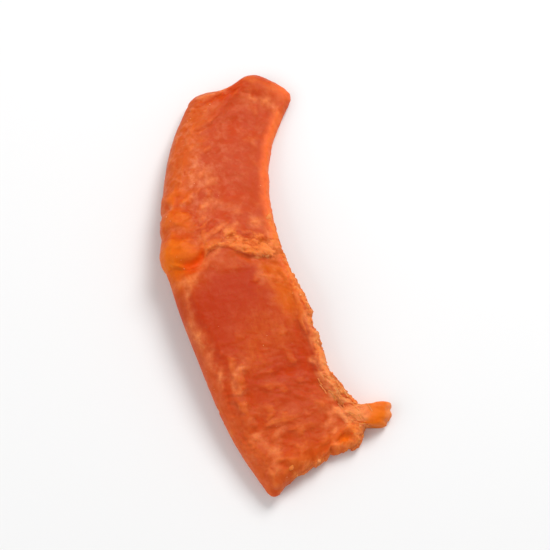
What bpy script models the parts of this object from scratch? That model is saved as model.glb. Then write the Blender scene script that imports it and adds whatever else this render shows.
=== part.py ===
"""Dried papaya spear: one curved slice of candied fruit, lying on a cut face.

The slice is two skins, the cut face that lies up and the one that lies down, over one plan outline and
sharing its rim. u runs along the spear, from 0 at the stem end (+Y) to 1 at the blossom end (-Y). v runs
across it, from 0 at the outer, peeled edge (-X) to 1 at the inner edge, where the seeds were.
Metres, +Z up, origin under the middle of the bounding box.
"""

import math

import bmesh
import bpy
import numpy as np

# The plan outline, as the few points that each of its four edges bends through.
OUTER_EDGE = ((-0.0212, 0.0503), (-0.0264, 0.0350), (-0.0281, 0.0140), (-0.0252, -0.0030),
              (-0.0188, -0.0205), (-0.0104, -0.0395), (0.0000, -0.0551))
INNER_EDGE = ((0.0050, 0.0520), (-0.0005, 0.0364), (-0.0013, 0.0260), (0.0013, 0.0105),
              (0.0084, -0.0060), (0.0140, -0.0228), (0.0219, -0.0340), (0.0207, -0.0419))
STEM_END = ((-0.0212, 0.0503), (-0.0128, 0.0520), (-0.0056, 0.0563), (0.0050, 0.0520))
BLOSSOM_END = ((0.0000, -0.0551), (0.0040, -0.0498), (0.0102, -0.0462), (0.0158, -0.0424),
               (0.0207, -0.0419))

# Thickness, and how far in from each edge the slice rounds over.
OUTER_THICKNESS = 0.0112
INNER_THICKNESS = 0.0066
THINS_ACROSS = (0.15, 0.95)
STEM_THINNING = 0.28
STEM_THINS_TO = 0.22
BLOSSOM_THINNING = 0.22
BLOSSOM_THINS_FROM = 0.74
OUTER_ROUND = 0.0062
INNER_ROUND = 0.0026
END_ROUND = 0.0045

# From here, a SPAN is four shares of the length: a mark rises from the first to the second and falls
# from the third to the fourth. An ACROSS is the middle and the width of a mark, as shares of the width.
# A RAMP is the two shares that a mark rises between, or fades between.

# The arch that the slice stands in: its feet are pressed flat and its underside has shrunk in.
ARCH = 0.0034
ARCH_SPAN = (0.06, 0.46, 0.46, 0.92)
FLAT_SINK = 0.0008
HOLLOW_UNDER = 0.0009
HOLLOW_SPAN = (0.10, 0.25, 0.70, 0.85)
HOLLOW_ACROSS = (0.50, 0.45)

# The crack where the slice is bent. Above it the face stands proud and has a deep pocket by the outer
# edge. Below it the face starts a little sunk.
CRACK_AT = 0.44
CRACK_BOW = 0.033
BOW_RAMP = (0.0, 0.20)
BOW_FADE_RAMP = (0.27, 0.45)
CRACK_FALL = 0.055
FALL_RAMP = (0.48, 1.0)
CRACK_RUN = 0.018
LEDGE_HEIGHT = 0.0011
LEDGE_FADE = 0.07
SUNK_SHARE = 0.4
SUNK_FADE = 0.05
POCKET_DEPTH = 0.0022
POCKET_PAST = (-0.018, 0.022)
POCKET_ACROSS = (0.24, 0.19)
FOLD_HEIGHT = 0.0005
FOLD_PITCH = 0.05
FOLD_ALONG = (0.37, 0.12)
FOLD_FADE_RAMP = (0.22, 0.36)

# The shallow trough towards the stem end, with a low lobe at the end itself.
TROUGH_DEPTH = 0.0014
TROUGH_SPAN = (0.04, 0.15, 0.32, 0.43)
TROUGH_ACROSS = (0.62, 0.44)
LOBE_HEIGHT = 0.0009
LOBE_ALONG = (0.02, 0.05)
LOBE_ACROSS = (0.72, 0.30)
DIP_SHARE = 0.8
DIP_ACROSS = (0.42, 0.20)

# Towards the blossom end: the crust on the seeds' side, the groove beside it, a crease along the middle
# and the curled lip in the corner.
CRUST_HEIGHT = 0.0008
CRUST_SPAN = (0.48, 0.64, 1.0, 1.1)
CRUST_ACROSS = (0.93, 0.10)
GROOVE_DEPTH = 0.0005
GROOVE_SPAN = (0.74, 0.85, 1.0, 1.1)
GROOVE_ACROSS = (0.84, 0.08)
CREASE_HEIGHT = 0.0005
CREASE_SPAN = (0.66, 0.78, 0.94, 1.0)
CREASE_RIDGE = (0.42, 0.10)
CREASE_VALLEY = (0.30, 0.12)
CURL_DEPTH = 0.0011
CURL_ALONG = (0.95, 0.05)
LIP_SHARE = 0.7
CURL_LIP = (0.96, 0.07)
CURL_VALLEY = (0.86, 0.10)

# The torn tab on the inner edge near the blossom end.
TAB_AT = 0.898
TAB_WIDTH = 0.043
TAB_SLOPE = 0.021
TAB_ROOT = 0.84
TAB_REACH = 0.0073
TAB_RISE = 0.0012
TAB_THINNING = 0.42

# The ragged inner edge and blossom end, and the radius of the plan's corners.
TOOTH = 0.0005
TEETH_ALONG = 9
FINE_TEETH_ALONG = 1.7 * TEETH_ALONG
FINE_TEETH_SHARE = 0.7
FINE_TEETH_PHASE = 1.0
TEETH_RAMP = (0.05, 0.4)
TEETH_ROOT = 0.80
TEETH_ACROSS = 4
NOTCH_ROOT = 0.90
CORNER_ROUND_ALONG = 0.028
CORNER_ROUND_ACROSS = 0.115

STEPS_ALONG = 88
STEPS_ACROSS = 24
# CROWDING is the share of the steps along that crowd towards the two ends. FINE is how many samples a
# smooth edge is measured with.
CROWDING = 0.35
FINE = 400

FLESH = (0.72, 0.13, 0.035, 1.0)
ROUGHNESS = 0.45


def clear_scene():
    for old in list(bpy.data.objects):
        bpy.data.objects.remove(old)


def ease(start, end, x):
    """0 before start and 1 after end, with a smooth rise between."""
    share = np.clip((x - start) / (end - start), 0.0, 1.0)
    return share * share * (3.0 - 2.0 * share)


def span(marks, x):
    """1 between two smooth ramps: up from marks[0] to marks[1], and down from marks[2] to marks[3]."""
    return ease(marks[0], marks[1], x) * (1.0 - ease(marks[2], marks[3], x))


def hill(place, x):
    """A smooth hill of height 1: place is its middle and its width at half its height."""
    middle, width = place
    return np.exp(-(((x - middle) / (0.6 * width)) ** 2))


def plateau(x, middle, width, slope):
    """Height 1 over width, with a rise of the given width on each side."""
    reach = abs(x - middle)
    return 1.0 - ease(0.5 * width - 0.5 * slope, 0.5 * width + 0.5 * slope, reach)


def smooth_edge(points, shares):
    """Points at the given shares of the length of a smooth curve through the points."""
    points = np.array(points, float)
    knots = np.concatenate([[0.0], np.cumsum(np.linalg.norm(np.diff(points, axis=0), axis=1) ** 0.5)])
    slopes = np.gradient(points, knots, axis=0)
    at = np.linspace(0.0, knots[-1], FINE)
    part = np.clip(np.searchsorted(knots, at, side="right") - 1, 0, len(knots) - 2)
    gap = (knots[part + 1] - knots[part])[:, None]
    t = (at - knots[part])[:, None] / gap
    curve = ((2 * t**3 - 3 * t**2 + 1) * points[part] + (t**3 - 2 * t**2 + t) * gap * slopes[part]
             + (3 * t**2 - 2 * t**3) * points[part + 1] + (t**3 - t**2) * gap * slopes[part + 1])
    run = np.concatenate([[0.0], np.cumsum(np.linalg.norm(np.diff(curve, axis=0), axis=1))])
    wanted = shares * run[-1]
    return np.stack([np.interp(wanted, run, curve[:, axis]) for axis in (0, 1)], axis=-1)


def round_corners(u, v):
    """The shares moved so that the square's four corners become quarter circles."""
    far_u, far_v = 2 * u - 1, 2 * v - 1
    flat_u, flat_v = 1 - 2 * CORNER_ROUND_ALONG, 1 - 2 * CORNER_ROUND_ACROSS
    a = np.clip((abs(far_u) - flat_u) / (1 - flat_u), 0, None)
    b = np.clip((abs(far_v) - flat_v) / (1 - flat_v), 0, None)
    pull_u = a * (1 - np.sqrt(1 - b * b / 2)) * (1 - flat_u)
    pull_v = b * (1 - np.sqrt(1 - a * a / 2)) * (1 - flat_v)
    return (1 + far_u - np.sign(far_u) * pull_u) / 2, (1 + far_v - np.sign(far_v) * pull_v) / 2


def tab_zone(u, v):
    """1 on the end of the torn tab, falling to 0 on the slice itself."""
    return plateau(u, TAB_AT, TAB_WIDTH, TAB_SLOPE) * ease(TAB_ROOT, 1.0, v)


def plan(u, v):
    """Where the grid of shares u along and v across lies in plan: a patch between the four edges."""
    u, v = round_corners(u, v)
    outer, inner = smooth_edge(OUTER_EDGE, u), smooth_edge(INNER_EDGE, u)
    stem, blossom = smooth_edge(STEM_END, v), smooth_edge(BLOSSOM_END, v)
    a, b = u[:, :, None], v[:, :, None]
    ends = [np.array(points[i]) for points in (STEM_END, BLOSSOM_END) for i in (0, -1)]
    corners = (1 - a) * ((1 - b) * ends[0] + b * ends[1]) + a * ((1 - b) * ends[2] + b * ends[3])
    place = (1 - b) * outer + b * inner + (1 - a) * stem + a * blossom - corners
    tab = tab_zone(u, v)
    wave = np.sin(math.tau * TEETH_ALONG * u)
    wave += FINE_TEETH_SHARE * np.sin(math.tau * FINE_TEETH_ALONG * u + FINE_TEETH_PHASE)
    teeth = TOOTH * wave * ease(TEETH_ROOT, 1.0, v) * ease(*TEETH_RAMP, u)
    notches = TOOTH * np.sin(math.tau * TEETH_ACROSS * v) * ease(NOTCH_ROOT, 1.0, u)
    place[:, :, 0] += TAB_REACH * tab + teeth
    place[:, :, 1] += TAB_RISE * tab + notches
    return place


def rounding(place):
    """How much of the full thickness is left at each grid point, from 0 on the rim to 1 inside."""
    def share(distance, reach):
        near = np.clip(1.0 - distance / reach, 0.0, 1.0)
        return np.sqrt(1.0 - near * near)

    def run(axis, backwards):
        order = np.flip(place, axis) if backwards else place
        steps = np.linalg.norm(np.diff(order, axis=axis), axis=2)
        start = np.zeros_like(np.take(steps, [0], axis=axis))
        total = np.cumsum(np.concatenate([start, steps], axis=axis), axis=axis)
        return np.flip(total, axis) if backwards else total

    return (share(run(1, False), OUTER_ROUND) * share(run(1, True), INNER_ROUND)
            * share(run(0, False), END_ROUND) * share(run(0, True), END_ROUND))


def thickness(u, v):
    across = OUTER_THICKNESS + (INNER_THICKNESS - OUTER_THICKNESS) * ease(*THINS_ACROSS, v)
    stem = STEM_THINNING * (1 - ease(0.0, STEM_THINS_TO, u))
    along = 1.0 - stem - BLOSSOM_THINNING * ease(BLOSSOM_THINS_FROM, 1.0, u)
    return across * along * (1.0 - TAB_THINNING * tab_zone(u, v))


def crack_line(v):
    """The share along the spear at which the crack crosses it: it bows out round the pocket, steps back
    past it and then falls towards the inner edge."""
    bow = CRACK_BOW * (ease(*BOW_RAMP, v) - ease(*BOW_FADE_RAMP, v))
    return CRACK_AT + bow + CRACK_FALL * ease(*FALL_RAMP, v)


def crack_relief(u, v):
    """The ledge at the crack, the pocket under it and the folds that are stacked above the pocket."""
    past = u - crack_line(v)
    below = ease(-0.5 * CRACK_RUN, 0.5 * CRACK_RUN, past)
    proud = np.exp(-np.clip(-past, 0, 1) / LEDGE_FADE)
    sunk = -SUNK_SHARE * np.exp(-np.clip(past, 0, 1) / SUNK_FADE)
    ledge = LEDGE_HEIGHT * (proud * (1 - below) + sunk * below)
    pocket = POCKET_DEPTH * hill(POCKET_PAST, past) * hill(POCKET_ACROSS, v)
    ripple = FOLD_HEIGHT * np.sin(math.tau * u / FOLD_PITCH)
    return ledge - pocket + ripple * hill(FOLD_ALONG, u) * (1 - ease(*FOLD_FADE_RAMP, v))


def stem_relief(u, v):
    """The trough and the lobe between the stem end and the crack."""
    trough = TROUGH_DEPTH * span(TROUGH_SPAN, u) * hill(TROUGH_ACROSS, v)
    lobe = LOBE_HEIGHT * hill(LOBE_ALONG, u) * (hill(LOBE_ACROSS, v) - DIP_SHARE * hill(DIP_ACROSS, v))
    return lobe - trough


def blossom_relief(u, v):
    """The crust, groove, crease and curled lip between the crack and the blossom end."""
    crust = CRUST_HEIGHT * span(CRUST_SPAN, u) * hill(CRUST_ACROSS, v)
    groove = GROOVE_DEPTH * span(GROOVE_SPAN, u) * hill(GROOVE_ACROSS, v)
    crease = CREASE_HEIGHT * span(CREASE_SPAN, u) * (hill(CREASE_RIDGE, v) - hill(CREASE_VALLEY, v))
    curl = CURL_DEPTH * hill(CURL_ALONG, u) * (LIP_SHARE * hill(CURL_LIP, v) - hill(CURL_VALLEY, v))
    return crust - groove + crease + curl


def skins():
    """The upper and the lower face as grids of points that agree on the rim."""
    even_u = np.linspace(0.0, 1.0, STEPS_ALONG + 1)
    crowded_u = 0.5 - 0.5 * np.cos(math.pi * even_u)
    across = 0.5 - 0.5 * np.cos(np.linspace(0.0, math.pi, STEPS_ACROSS + 1))
    u, v = np.meshgrid(CROWDING * crowded_u + (1 - CROWDING) * even_u, across, indexing="ij")
    place = plan(u, v)
    left = rounding(place)
    full = thickness(u, v)
    middle = ARCH * span(ARCH_SPAN, u) - FLAT_SINK + 0.5 * full
    relief = crack_relief(u, v) + stem_relief(u, v) + blossom_relief(u, v)
    upper = middle + left * (0.5 * full + relief)
    hollow = HOLLOW_UNDER * span(HOLLOW_SPAN, u) * hill(HOLLOW_ACROSS, v)
    lower = np.maximum(middle - left * (0.5 * full - hollow), 0.0)
    return (np.concatenate([place, upper[:, :, None]], axis=2),
            np.concatenate([place, lower[:, :, None]], axis=2))


def stand_at_origin(points):
    """Moves a list of points so that the origin is under the middle of their bounding box."""
    low, high = points.min(0), points.max(0)
    return points - np.array([(low[0] + high[0]) / 2, (low[1] + high[1]) / 2, low[2]])


def spear_mesh(name):
    upper, lower = skins()
    rows, columns = upper.shape[:2]
    inside = np.zeros((rows, columns), bool)
    inside[1:-1, 1:-1] = True
    top_index = np.arange(rows * columns).reshape(rows, columns)
    under_index = top_index.copy()
    under_index[inside] = rows * columns + np.arange(inside.sum())
    points = stand_at_origin(np.concatenate([upper.reshape(-1, 3), lower[inside]]))
    form = bmesh.new()
    verts = [form.verts.new(point) for point in points]
    for i in range(rows - 1):
        for j in range(columns - 1):
            corners = ((i, j), (i + 1, j), (i + 1, j + 1), (i, j + 1))
            form.faces.new([verts[top_index[c]] for c in corners])
            form.faces.new([verts[under_index[c]] for c in reversed(corners)])
    bmesh.ops.recalc_face_normals(form, faces=form.faces)
    mesh = bpy.data.meshes.new(name)
    form.to_mesh(mesh)
    form.free()
    mesh.shade_smooth()
    return mesh


def flesh_material():
    material = bpy.data.materials.new("dried_papaya")
    material.use_nodes = True
    shader = material.node_tree.nodes["Principled BSDF"]
    shader.inputs["Base Color"].default_value = FLESH
    shader.inputs["Roughness"].default_value = ROUGHNESS
    shader.inputs["Metallic"].default_value = 0.0
    return material


def build_spear():
    spear = bpy.data.objects.new("spear", spear_mesh("spear"))
    spear.data.materials.append(flesh_material())
    bpy.context.scene.collection.objects.link(spear)
    return spear


clear_scene()
build_spear()
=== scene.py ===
"""Looks of a dried papaya spear: the flesh of the slice with its crack, folds and crust, the sugar and
crumbs on it, and a plain studio round it.

The slice is two skins, the cut face that lies up and the one that lies down, over one plan outline and
sharing its rim. u runs along it, from 0 at the stem end (+Y) to 1 at the blossom end (-Y). v runs across
it, from 0 at the outer, peeled edge (-X) to 1 at the inner edge, where the seeds were. Metres, +Z up.
"""

import itertools
import math

import bmesh
import bpy
import numpy as np
from mathutils import Matrix, Vector


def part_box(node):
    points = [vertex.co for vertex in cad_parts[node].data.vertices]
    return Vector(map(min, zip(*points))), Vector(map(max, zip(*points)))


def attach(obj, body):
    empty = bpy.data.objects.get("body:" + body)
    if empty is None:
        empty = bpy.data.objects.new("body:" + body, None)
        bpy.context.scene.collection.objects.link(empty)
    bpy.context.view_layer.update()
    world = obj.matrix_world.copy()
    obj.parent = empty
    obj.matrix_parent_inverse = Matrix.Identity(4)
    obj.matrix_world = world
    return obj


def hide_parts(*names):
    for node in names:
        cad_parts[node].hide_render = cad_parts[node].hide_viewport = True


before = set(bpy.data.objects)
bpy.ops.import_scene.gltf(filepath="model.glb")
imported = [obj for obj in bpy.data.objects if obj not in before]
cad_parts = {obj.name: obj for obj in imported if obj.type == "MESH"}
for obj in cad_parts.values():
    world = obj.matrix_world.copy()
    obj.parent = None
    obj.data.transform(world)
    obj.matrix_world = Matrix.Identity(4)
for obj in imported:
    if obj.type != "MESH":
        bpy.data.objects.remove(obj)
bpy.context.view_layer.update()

bl_info = {
    "name": "Dried papaya spear",
    "version": (1, 0, 0),
    "blender": (4, 5, 0),
    "location": "View3D > Sidebar > Papaya",
    "description": "Makes a dried papaya spear and a plain studio round it",
    "category": "Object",
}

BODY = "root"
NODE = "spear"
MM = 0.001
# Metres to millimetres, which the patterns of the materials are laid out in.
IN_MM = 1000.0
# The same along the slice for its streaks, which are drawn out that way.
STREAK_IN_MM = 260.0

# The plan outline, as the few points that each of its four edges bends through.
OUTER_EDGE = ((-0.0212, 0.0503), (-0.0264, 0.0350), (-0.0281, 0.0140), (-0.0252, -0.0030),
              (-0.0188, -0.0205), (-0.0104, -0.0395), (0.0000, -0.0551))
INNER_EDGE = ((0.0050, 0.0520), (-0.0005, 0.0364), (-0.0013, 0.0260), (0.0013, 0.0105),
              (0.0084, -0.0060), (0.0140, -0.0228), (0.0195, -0.0290), (0.0224, -0.0325),
              (0.0224, -0.0362), (0.0207, -0.0419))
STEM_END = ((-0.0212, 0.0503), (-0.0128, 0.0520), (-0.0056, 0.0563), (0.0050, 0.0520))
BLOSSOM_END = ((0.0000, -0.0551), (0.0040, -0.0498), (0.0102, -0.0462), (0.0158, -0.0424),
               (0.0207, -0.0419))
# The outline of the torn tab, from where it leaves the inner edge to where it meets it again.
TAB_EDGE = ((0.0230, -0.0312), (0.0238, -0.0310), (0.0246, -0.0304), (0.0256, -0.0305), (0.0264, -0.0299),
            (0.0279, -0.0298), (0.0287, -0.0299), (0.0289, -0.0307), (0.0286, -0.0317), (0.0288, -0.0329),
            (0.0283, -0.0341), (0.0276, -0.0347), (0.0273, -0.0357), (0.0262, -0.0362), (0.0252, -0.0359),
            (0.0241, -0.0362), (0.0232, -0.0358))
CORNER_ROUND_ALONG = 0.028
CORNER_ROUND_ACROSS = 0.115
OUTER_ROUND = 6.2 * MM
INNER_ROUND = 2.6 * MM
END_ROUND = 4.5 * MM

# Steps of the fine grid, how much they crowd at the ends and at the tab, and the share of the steps
# across that is even instead of crowding to the edges.
STEPS_ALONG = 450
STEPS_ACROSS = 100
CROWDED_ENDS = 0.5
CROWDED_TAB = 1.8
EVEN_ACROSS = 0.25
# Samples that a smooth edge is measured with, and how often and how far folded cells are pulled straight.
FINE = 600
UNTANGLE_STEPS = 300
UNTANGLE_PULL = 0.7

# Along and across the middle of the slice, for marks that are sized in metres.
LENGTH = 0.115
WIDTH = 0.030
CRACK_AT = 0.448
CRACK_BOW = 0.022
CRACK_FALL = 0.038
CRACK_JOGS = 0.0045
# The pocket leans: its line moves along by this share from the outer edge to the inner one.
POCKET_LEAN = 0.03
POCKET_MIDDLE = 0.24
TAB_AT = 0.9085
TAB_REACH = 0.027
TAB_ROOT = 0.86
# How far out on the tab its own finish starts, and how far out it is whole.
WHOLE_TAB = (0.22, 0.58)
# How far in from the edges and from the ends the underside has its own finish.
RIM_ACROSS = 0.12
RIM_ALONG = 0.03

# How far the torn edges stand in or out, and how high the parts of the relief are.
RAGGED_EDGE = 0.55 * MM
SCALLOPS = 0.55 * MM
SIDE_BULGE = 0.9 * MM
CRUMBLY_ROUGHNESS = 0.20 * MM
WEDGE_ROUGHNESS = 0.10 * MM
LOBE = 0.8 * MM
UPPER_SWELLS = 0.26 * MM
UPPER_BANDS = 0.16 * MM
UPPER_FLECKS = 0.26 * MM
LOWER_SWELLS = 0.50 * MM
LOWER_BANDS = 0.30 * MM
LOWER_FLECKS = 0.22 * MM
CALM_SWELLS = 0.13 * MM
CRUST_RIDGE = 0.75 * MM
TAB_HOLLOW = 0.55 * MM
TAB_BULGE = 0.7 * MM
PEEL_FLATS = 0.30 * MM
UNDER_HOLLOW = 0.9 * MM
UNDER_CREASES = 0.45 * MM
FLAT_SINK = 0.8 * MM
# How far drawn lines and pillows stray from their points.
LINE_WANDER = 1.1 * MM
PILLOW_WANDER = 0.7 * MM
# A step in the relief that counts as fully raised or sunk, and the cells on each side that it is held
# against.
RAISED_BY = 0.34 * MM
RAISED_CELLS = 7

# Large odd numbers that turn a cell's place into a number that looks random.
HASH_PLACE = (73856093, 19349663, 83492791)
HASH_SEED = 2654435761
HASH_FIRST = 1274126177
HASH_SECOND = 2246822519
WORD = 0xFFFFFFFF

# The masks that say where loose grains lie, and don't run over the rim to the underside.
SCATTERED = ("crumbs", "fibre", "sugar")
# The masks that the underside has none of.
SHOWN_ONLY = ("shade", "raised", "pale", "ember", "warm", "bloom", "fibre", "sugar")

# Ridges of the shown face: height and width in millimetres, then the shares that each runs through.
RIDGES = (
    (0.45, 1.5, ((0.022, 0.10), (0.010, 0.30), (0.010, 0.48), (0.026, 0.62))),
    (0.22, 1.8, ((0.052, 0.56), (0.075, 0.68), (0.095, 0.74))),
    (0.25, 1.0, ((0.010, 0.76), (0.006, 0.92), (0.040, 0.955), (0.110, 0.965))),
    (0.25, 1.0, ((0.080, 0.975), (0.200, 0.970), (0.300, 0.975), (0.430, 0.975), (0.520, 0.970),
                 (0.600, 0.965), (0.680, 0.960))),
    (0.12, 2.6, ((0.245, 0.24), (0.235, 0.40), (0.255, 0.56), (0.262, 0.72))),
    (0.14, 2.4, ((0.345, 0.36), (0.330, 0.50), (0.352, 0.64), (0.372, 0.78))),
    (0.26, 1.4, ((0.406, 0.33), (0.405, 0.42), (0.412, 0.50))),
    (0.34, 1.3, ((0.437, 0.37), (0.430, 0.47), (0.432, 0.57))),
    (0.40, 1.3, ((0.442, 0.47), (0.445, 0.56), (0.452, 0.64), (0.460, 0.71))),
    (0.55, 1.6, ((0.468, 0.59), (0.477, 0.65), (0.481, 0.72), (0.476, 0.80), (0.474, 0.85), (0.481, 0.89))),
    (0.42, 1.2, ((0.460, 0.66), (0.460, 0.75), (0.456, 0.82), (0.445, 0.90), (0.437, 0.96))),
    (0.32, 1.2, ((0.430, 0.85), (0.422, 0.91), (0.415, 0.96))),
    (0.26, 1.4, ((0.402, 0.77), (0.390, 0.83), (0.377, 0.88))),
    (0.32, 2.2, ((0.488, 0.04), (0.492, 0.16), (0.480, 0.28), (0.466, 0.37))),
    (0.26, 1.2, ((0.499, 0.755), (0.519, 0.708), (0.549, 0.668))),
    (0.26, 1.2, ((0.542, 0.73), (0.547, 0.79), (0.542, 0.85))),
    (0.35, 1.6, ((0.512, 0.92), (0.560, 0.94), (0.610, 0.95))),
    (0.26, 1.4, ((0.540, 0.070), (0.602, 0.054), (0.645, 0.091), (0.690, 0.086), (0.740, 0.10))),
    (0.16, 2.4, ((0.722, 0.17), (0.727, 0.25), (0.727, 0.33))),
    (0.24, 1.8, ((0.740, 0.25), (0.765, 0.215), (0.817, 0.20), (0.873, 0.180), (0.905, 0.205))),
    (0.40, 2.4, ((0.915, 0.27), (0.945, 0.20))),
    (0.18, 1.3, ((0.742, 0.40), (0.752, 0.52), (0.745, 0.63), (0.760, 0.74))),
    (0.26, 1.4, ((0.843, 0.30), (0.840, 0.36), (0.847, 0.43))),
    (0.26, 1.3, ((0.863, 0.28), (0.862, 0.35))),
    (0.26, 1.5, ((0.860, 0.43), (0.863, 0.48), (0.873, 0.55))),
    (0.24, 1.6, ((0.889, 0.29), (0.886, 0.35), (0.894, 0.41))),
    (0.20, 1.6, ((0.905, 0.42), (0.900, 0.52), (0.915, 0.62))),
    (0.30, 1.4, ((0.945, 0.280), (0.955, 0.310), (0.962, 0.335))),
    (0.80, 1.4, ((0.955, 0.76), (0.949, 0.83), (0.955, 0.89), (0.964, 0.930), (0.975, 0.945),
                 (0.986, 0.930), (0.990, 0.87), (0.986, 0.80), (0.980, 0.73))),
    (0.40, 1.5, ((0.974, 0.70), (0.978, 0.62), (0.985, 0.50), (0.980, 0.42))),
    (-0.95, 3.3, ((0.969, 0.79), (0.976, 0.85), (0.974, 0.89))),
)
# Strands of torn flesh along the crust, which both stand out and have dried pale: the same three numbers.
STRANDS = (
    (0.34, 0.9, ((0.735, 0.965), (0.765, 0.950), (0.790, 0.925), (0.815, 0.905))),
    (0.50, 1.3, ((0.800, 0.900), (0.840, 0.885), (0.868, 0.862), (0.886, 0.835), (0.908, 0.805))),
    (0.46, 1.2, ((0.815, 0.945), (0.845, 0.925), (0.868, 0.897), (0.890, 0.882), (0.908, 0.878))),
    (0.50, 1.1, ((0.908, 0.878), (0.915, 0.893), (0.924, 0.908), (0.933, 0.940), (0.945, 0.955))),
    (0.34, 0.9, ((0.866, 0.955), (0.886, 0.925), (0.903, 0.912), (0.915, 0.918))),
    (0.40, 0.9, ((0.908, 0.850), (0.922, 0.860), (0.935, 0.872), (0.948, 0.868))),
)
# Lines that are pale without standing out, partly where the flesh dried pale and partly painted highlights
# along ridges: strength, width in millimetres, then the shares.
PALE_AND_HIGHLIGHT_LINES = (
    (0.45, 1.8, ((0.500, 0.13), (0.530, 0.095), (0.570, 0.075), (0.610, 0.075))),
    (0.75, 1.8, ((0.610, 0.075), (0.645, 0.095), (0.690, 0.090), (0.730, 0.12))),
    (0.45, 1.4, ((0.484, 0.03), (0.492, 0.13), (0.482, 0.26), (0.462, 0.36), (0.445, 0.45))),
    (0.50, 1.6, ((0.430, 0.30), (0.415, 0.40), (0.400, 0.52))),
    (0.60, 1.4, ((0.440, 0.46), (0.445, 0.56), (0.452, 0.64), (0.458, 0.70))),
    (0.50, 1.4, ((0.422, 0.52), (0.414, 0.58), (0.407, 0.66))),
    (0.60, 1.5, ((0.404, 0.765), (0.391, 0.828), (0.378, 0.878))),
    (0.40, 1.3, ((0.501, 0.752), (0.519, 0.710), (0.549, 0.668))),
    (0.50, 1.4, ((0.542, 0.73), (0.547, 0.79), (0.542, 0.85))),
    (0.35, 2.6, ((0.250, 0.26), (0.262, 0.42), (0.300, 0.50), (0.345, 0.46))),
    (0.40, 1.8, ((0.355, 0.38), (0.335, 0.48), (0.350, 0.60), (0.372, 0.70))),
    (0.30, 1.4, ((0.840, 0.29), (0.838, 0.36), (0.846, 0.44))),
    (0.30, 1.2, ((0.862, 0.28), (0.862, 0.36))),
    (0.30, 1.4, ((0.860, 0.43), (0.864, 0.50), (0.873, 0.55))),
    (0.30, 1.6, ((0.889, 0.29), (0.886, 0.36))),
    (0.40, 2.4, ((0.723, 0.18), (0.727, 0.25), (0.727, 0.33))),
    (0.45, 1.6, ((0.750, 0.235), (0.772, 0.215))),
    (0.35, 1.8, ((0.872, 0.185), (0.900, 0.205))),
    (0.60, 2.6, ((0.918, 0.27), (0.932, 0.24), (0.948, 0.19))),
    (0.60, 1.3, ((0.640, 0.955), (0.690, 0.950), (0.745, 0.940), (0.800, 0.925))),
    (0.80, 1.3, ((0.950, 0.78), (0.948, 0.84), (0.957, 0.90), (0.967, 0.940), (0.978, 0.950),
                 (0.987, 0.93), (0.990, 0.87), (0.984, 0.78))),
    (0.30, 2.6, ((0.905, 0.74), (0.925, 0.73))),
    (0.60, 3.6, ((0.066, 0.66), (0.068, 0.78), (0.062, 0.88))),
    (0.95, 3.2, ((0.842, 0.890), (0.872, 0.865), (0.898, 0.840))),
    (0.50, 2.2, ((0.405, 0.910), (0.438, 0.895), (0.470, 0.890))),
    (0.60, 1.4, ((0.470, 0.60), (0.478, 0.66), (0.482, 0.73), (0.478, 0.81))),
)
# Creases of the shown face: depth and width in millimetres, then the shares.
CREASES = (
    (0.50, 1.3, ((0.052, 0.12), (0.036, 0.28), (0.034, 0.44), (0.050, 0.56), (0.062, 0.66))),
    (0.22, 1.0, ((0.070, 0.48), (0.092, 0.60), (0.110, 0.66))),
    (0.30, 1.3, ((0.300, -0.02), (0.312, 0.08), (0.325, 0.19), (0.338, 0.28))),
    (0.36, 1.3, ((0.362, -0.02), (0.377, 0.07), (0.391, 0.17), (0.403, 0.28))),
    (0.25, 1.0, ((0.398, 0.170), (0.408, 0.185), (0.414, 0.22))),
    (0.16, 1.2, ((0.320, 0.30), (0.370, 0.31), (0.410, 0.33), (0.432, 0.37))),
    (0.50, 0.9, ((0.130, 0.245), (0.128, 0.290), (0.128, 0.320))),
    (0.50, 0.9, ((0.227, 0.205), (0.239, 0.215))),
    (0.35, 0.9, ((0.288, 0.188), (0.302, 0.200))),
    (0.24, 1.0, ((0.422, 0.44), (0.431, 0.54), (0.438, 0.66))),
    (0.24, 1.0, ((0.440, 0.72), (0.436, 0.80), (0.442, 0.87))),
    (0.40, 1.0, ((0.476, 0.60), (0.490, 0.66), (0.494, 0.72))),
    (0.50, 1.0, ((0.482, 0.80), (0.479, 0.85), (0.474, 0.88))),
    (0.25, 1.0, ((0.506, 0.76), (0.530, 0.765), (0.556, 0.79))),
    (0.30, 1.3, ((0.714, 0.26), (0.717, 0.31))),
    (0.30, 1.3, ((0.733, 0.32), (0.752, 0.34))),
    (0.24, 1.3, ((0.772, 0.29), (0.800, 0.26), (0.822, 0.238), (0.842, 0.235))),
    (0.60, 1.5, ((0.853, 0.200), (0.872, 0.212), (0.888, 0.220), (0.908, 0.256))),
    (0.40, 1.2, ((0.956, 0.250), (0.968, 0.305))),
    (0.24, 1.1, ((0.850, 0.46), (0.868, 0.56), (0.880, 0.62))),
    (0.22, 1.1, ((0.851, 0.30), (0.852, 0.42))),
    (0.22, 1.1, ((0.875, 0.30), (0.875, 0.42))),
    (0.16, 1.1, ((0.770, 0.44), (0.766, 0.56), (0.778, 0.68))),
    (0.55, 1.8, ((0.845, 0.830), (0.866, 0.805), (0.884, 0.785), (0.901, 0.777))),
    (0.50, 1.5, ((0.912, 0.838), (0.926, 0.828), (0.938, 0.828))),
    (0.45, 1.2, ((0.918, 0.882), (0.927, 0.892))),
    (0.40, 1.0, ((0.850, 0.905), (0.872, 0.880), (0.895, 0.858))),
)
# Pillows: height in millimetres, the shares of the middle, and length and width in millimetres.
PILLOWS = (
    (0.40, (0.284, 0.14), (5.0, 8.5)),
    (0.50, (0.344, 0.14), (6.0, 8.5)),
    (0.65, (0.415, 0.12), (6.4, 9.5)),
    (0.35, (0.436, 0.50), (6.5, 10.0)),
    (0.25, (0.258, 0.47), (6.0, 7.0)),
)


# ---- Properties -----------------------------------------------------------------------------------------

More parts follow.
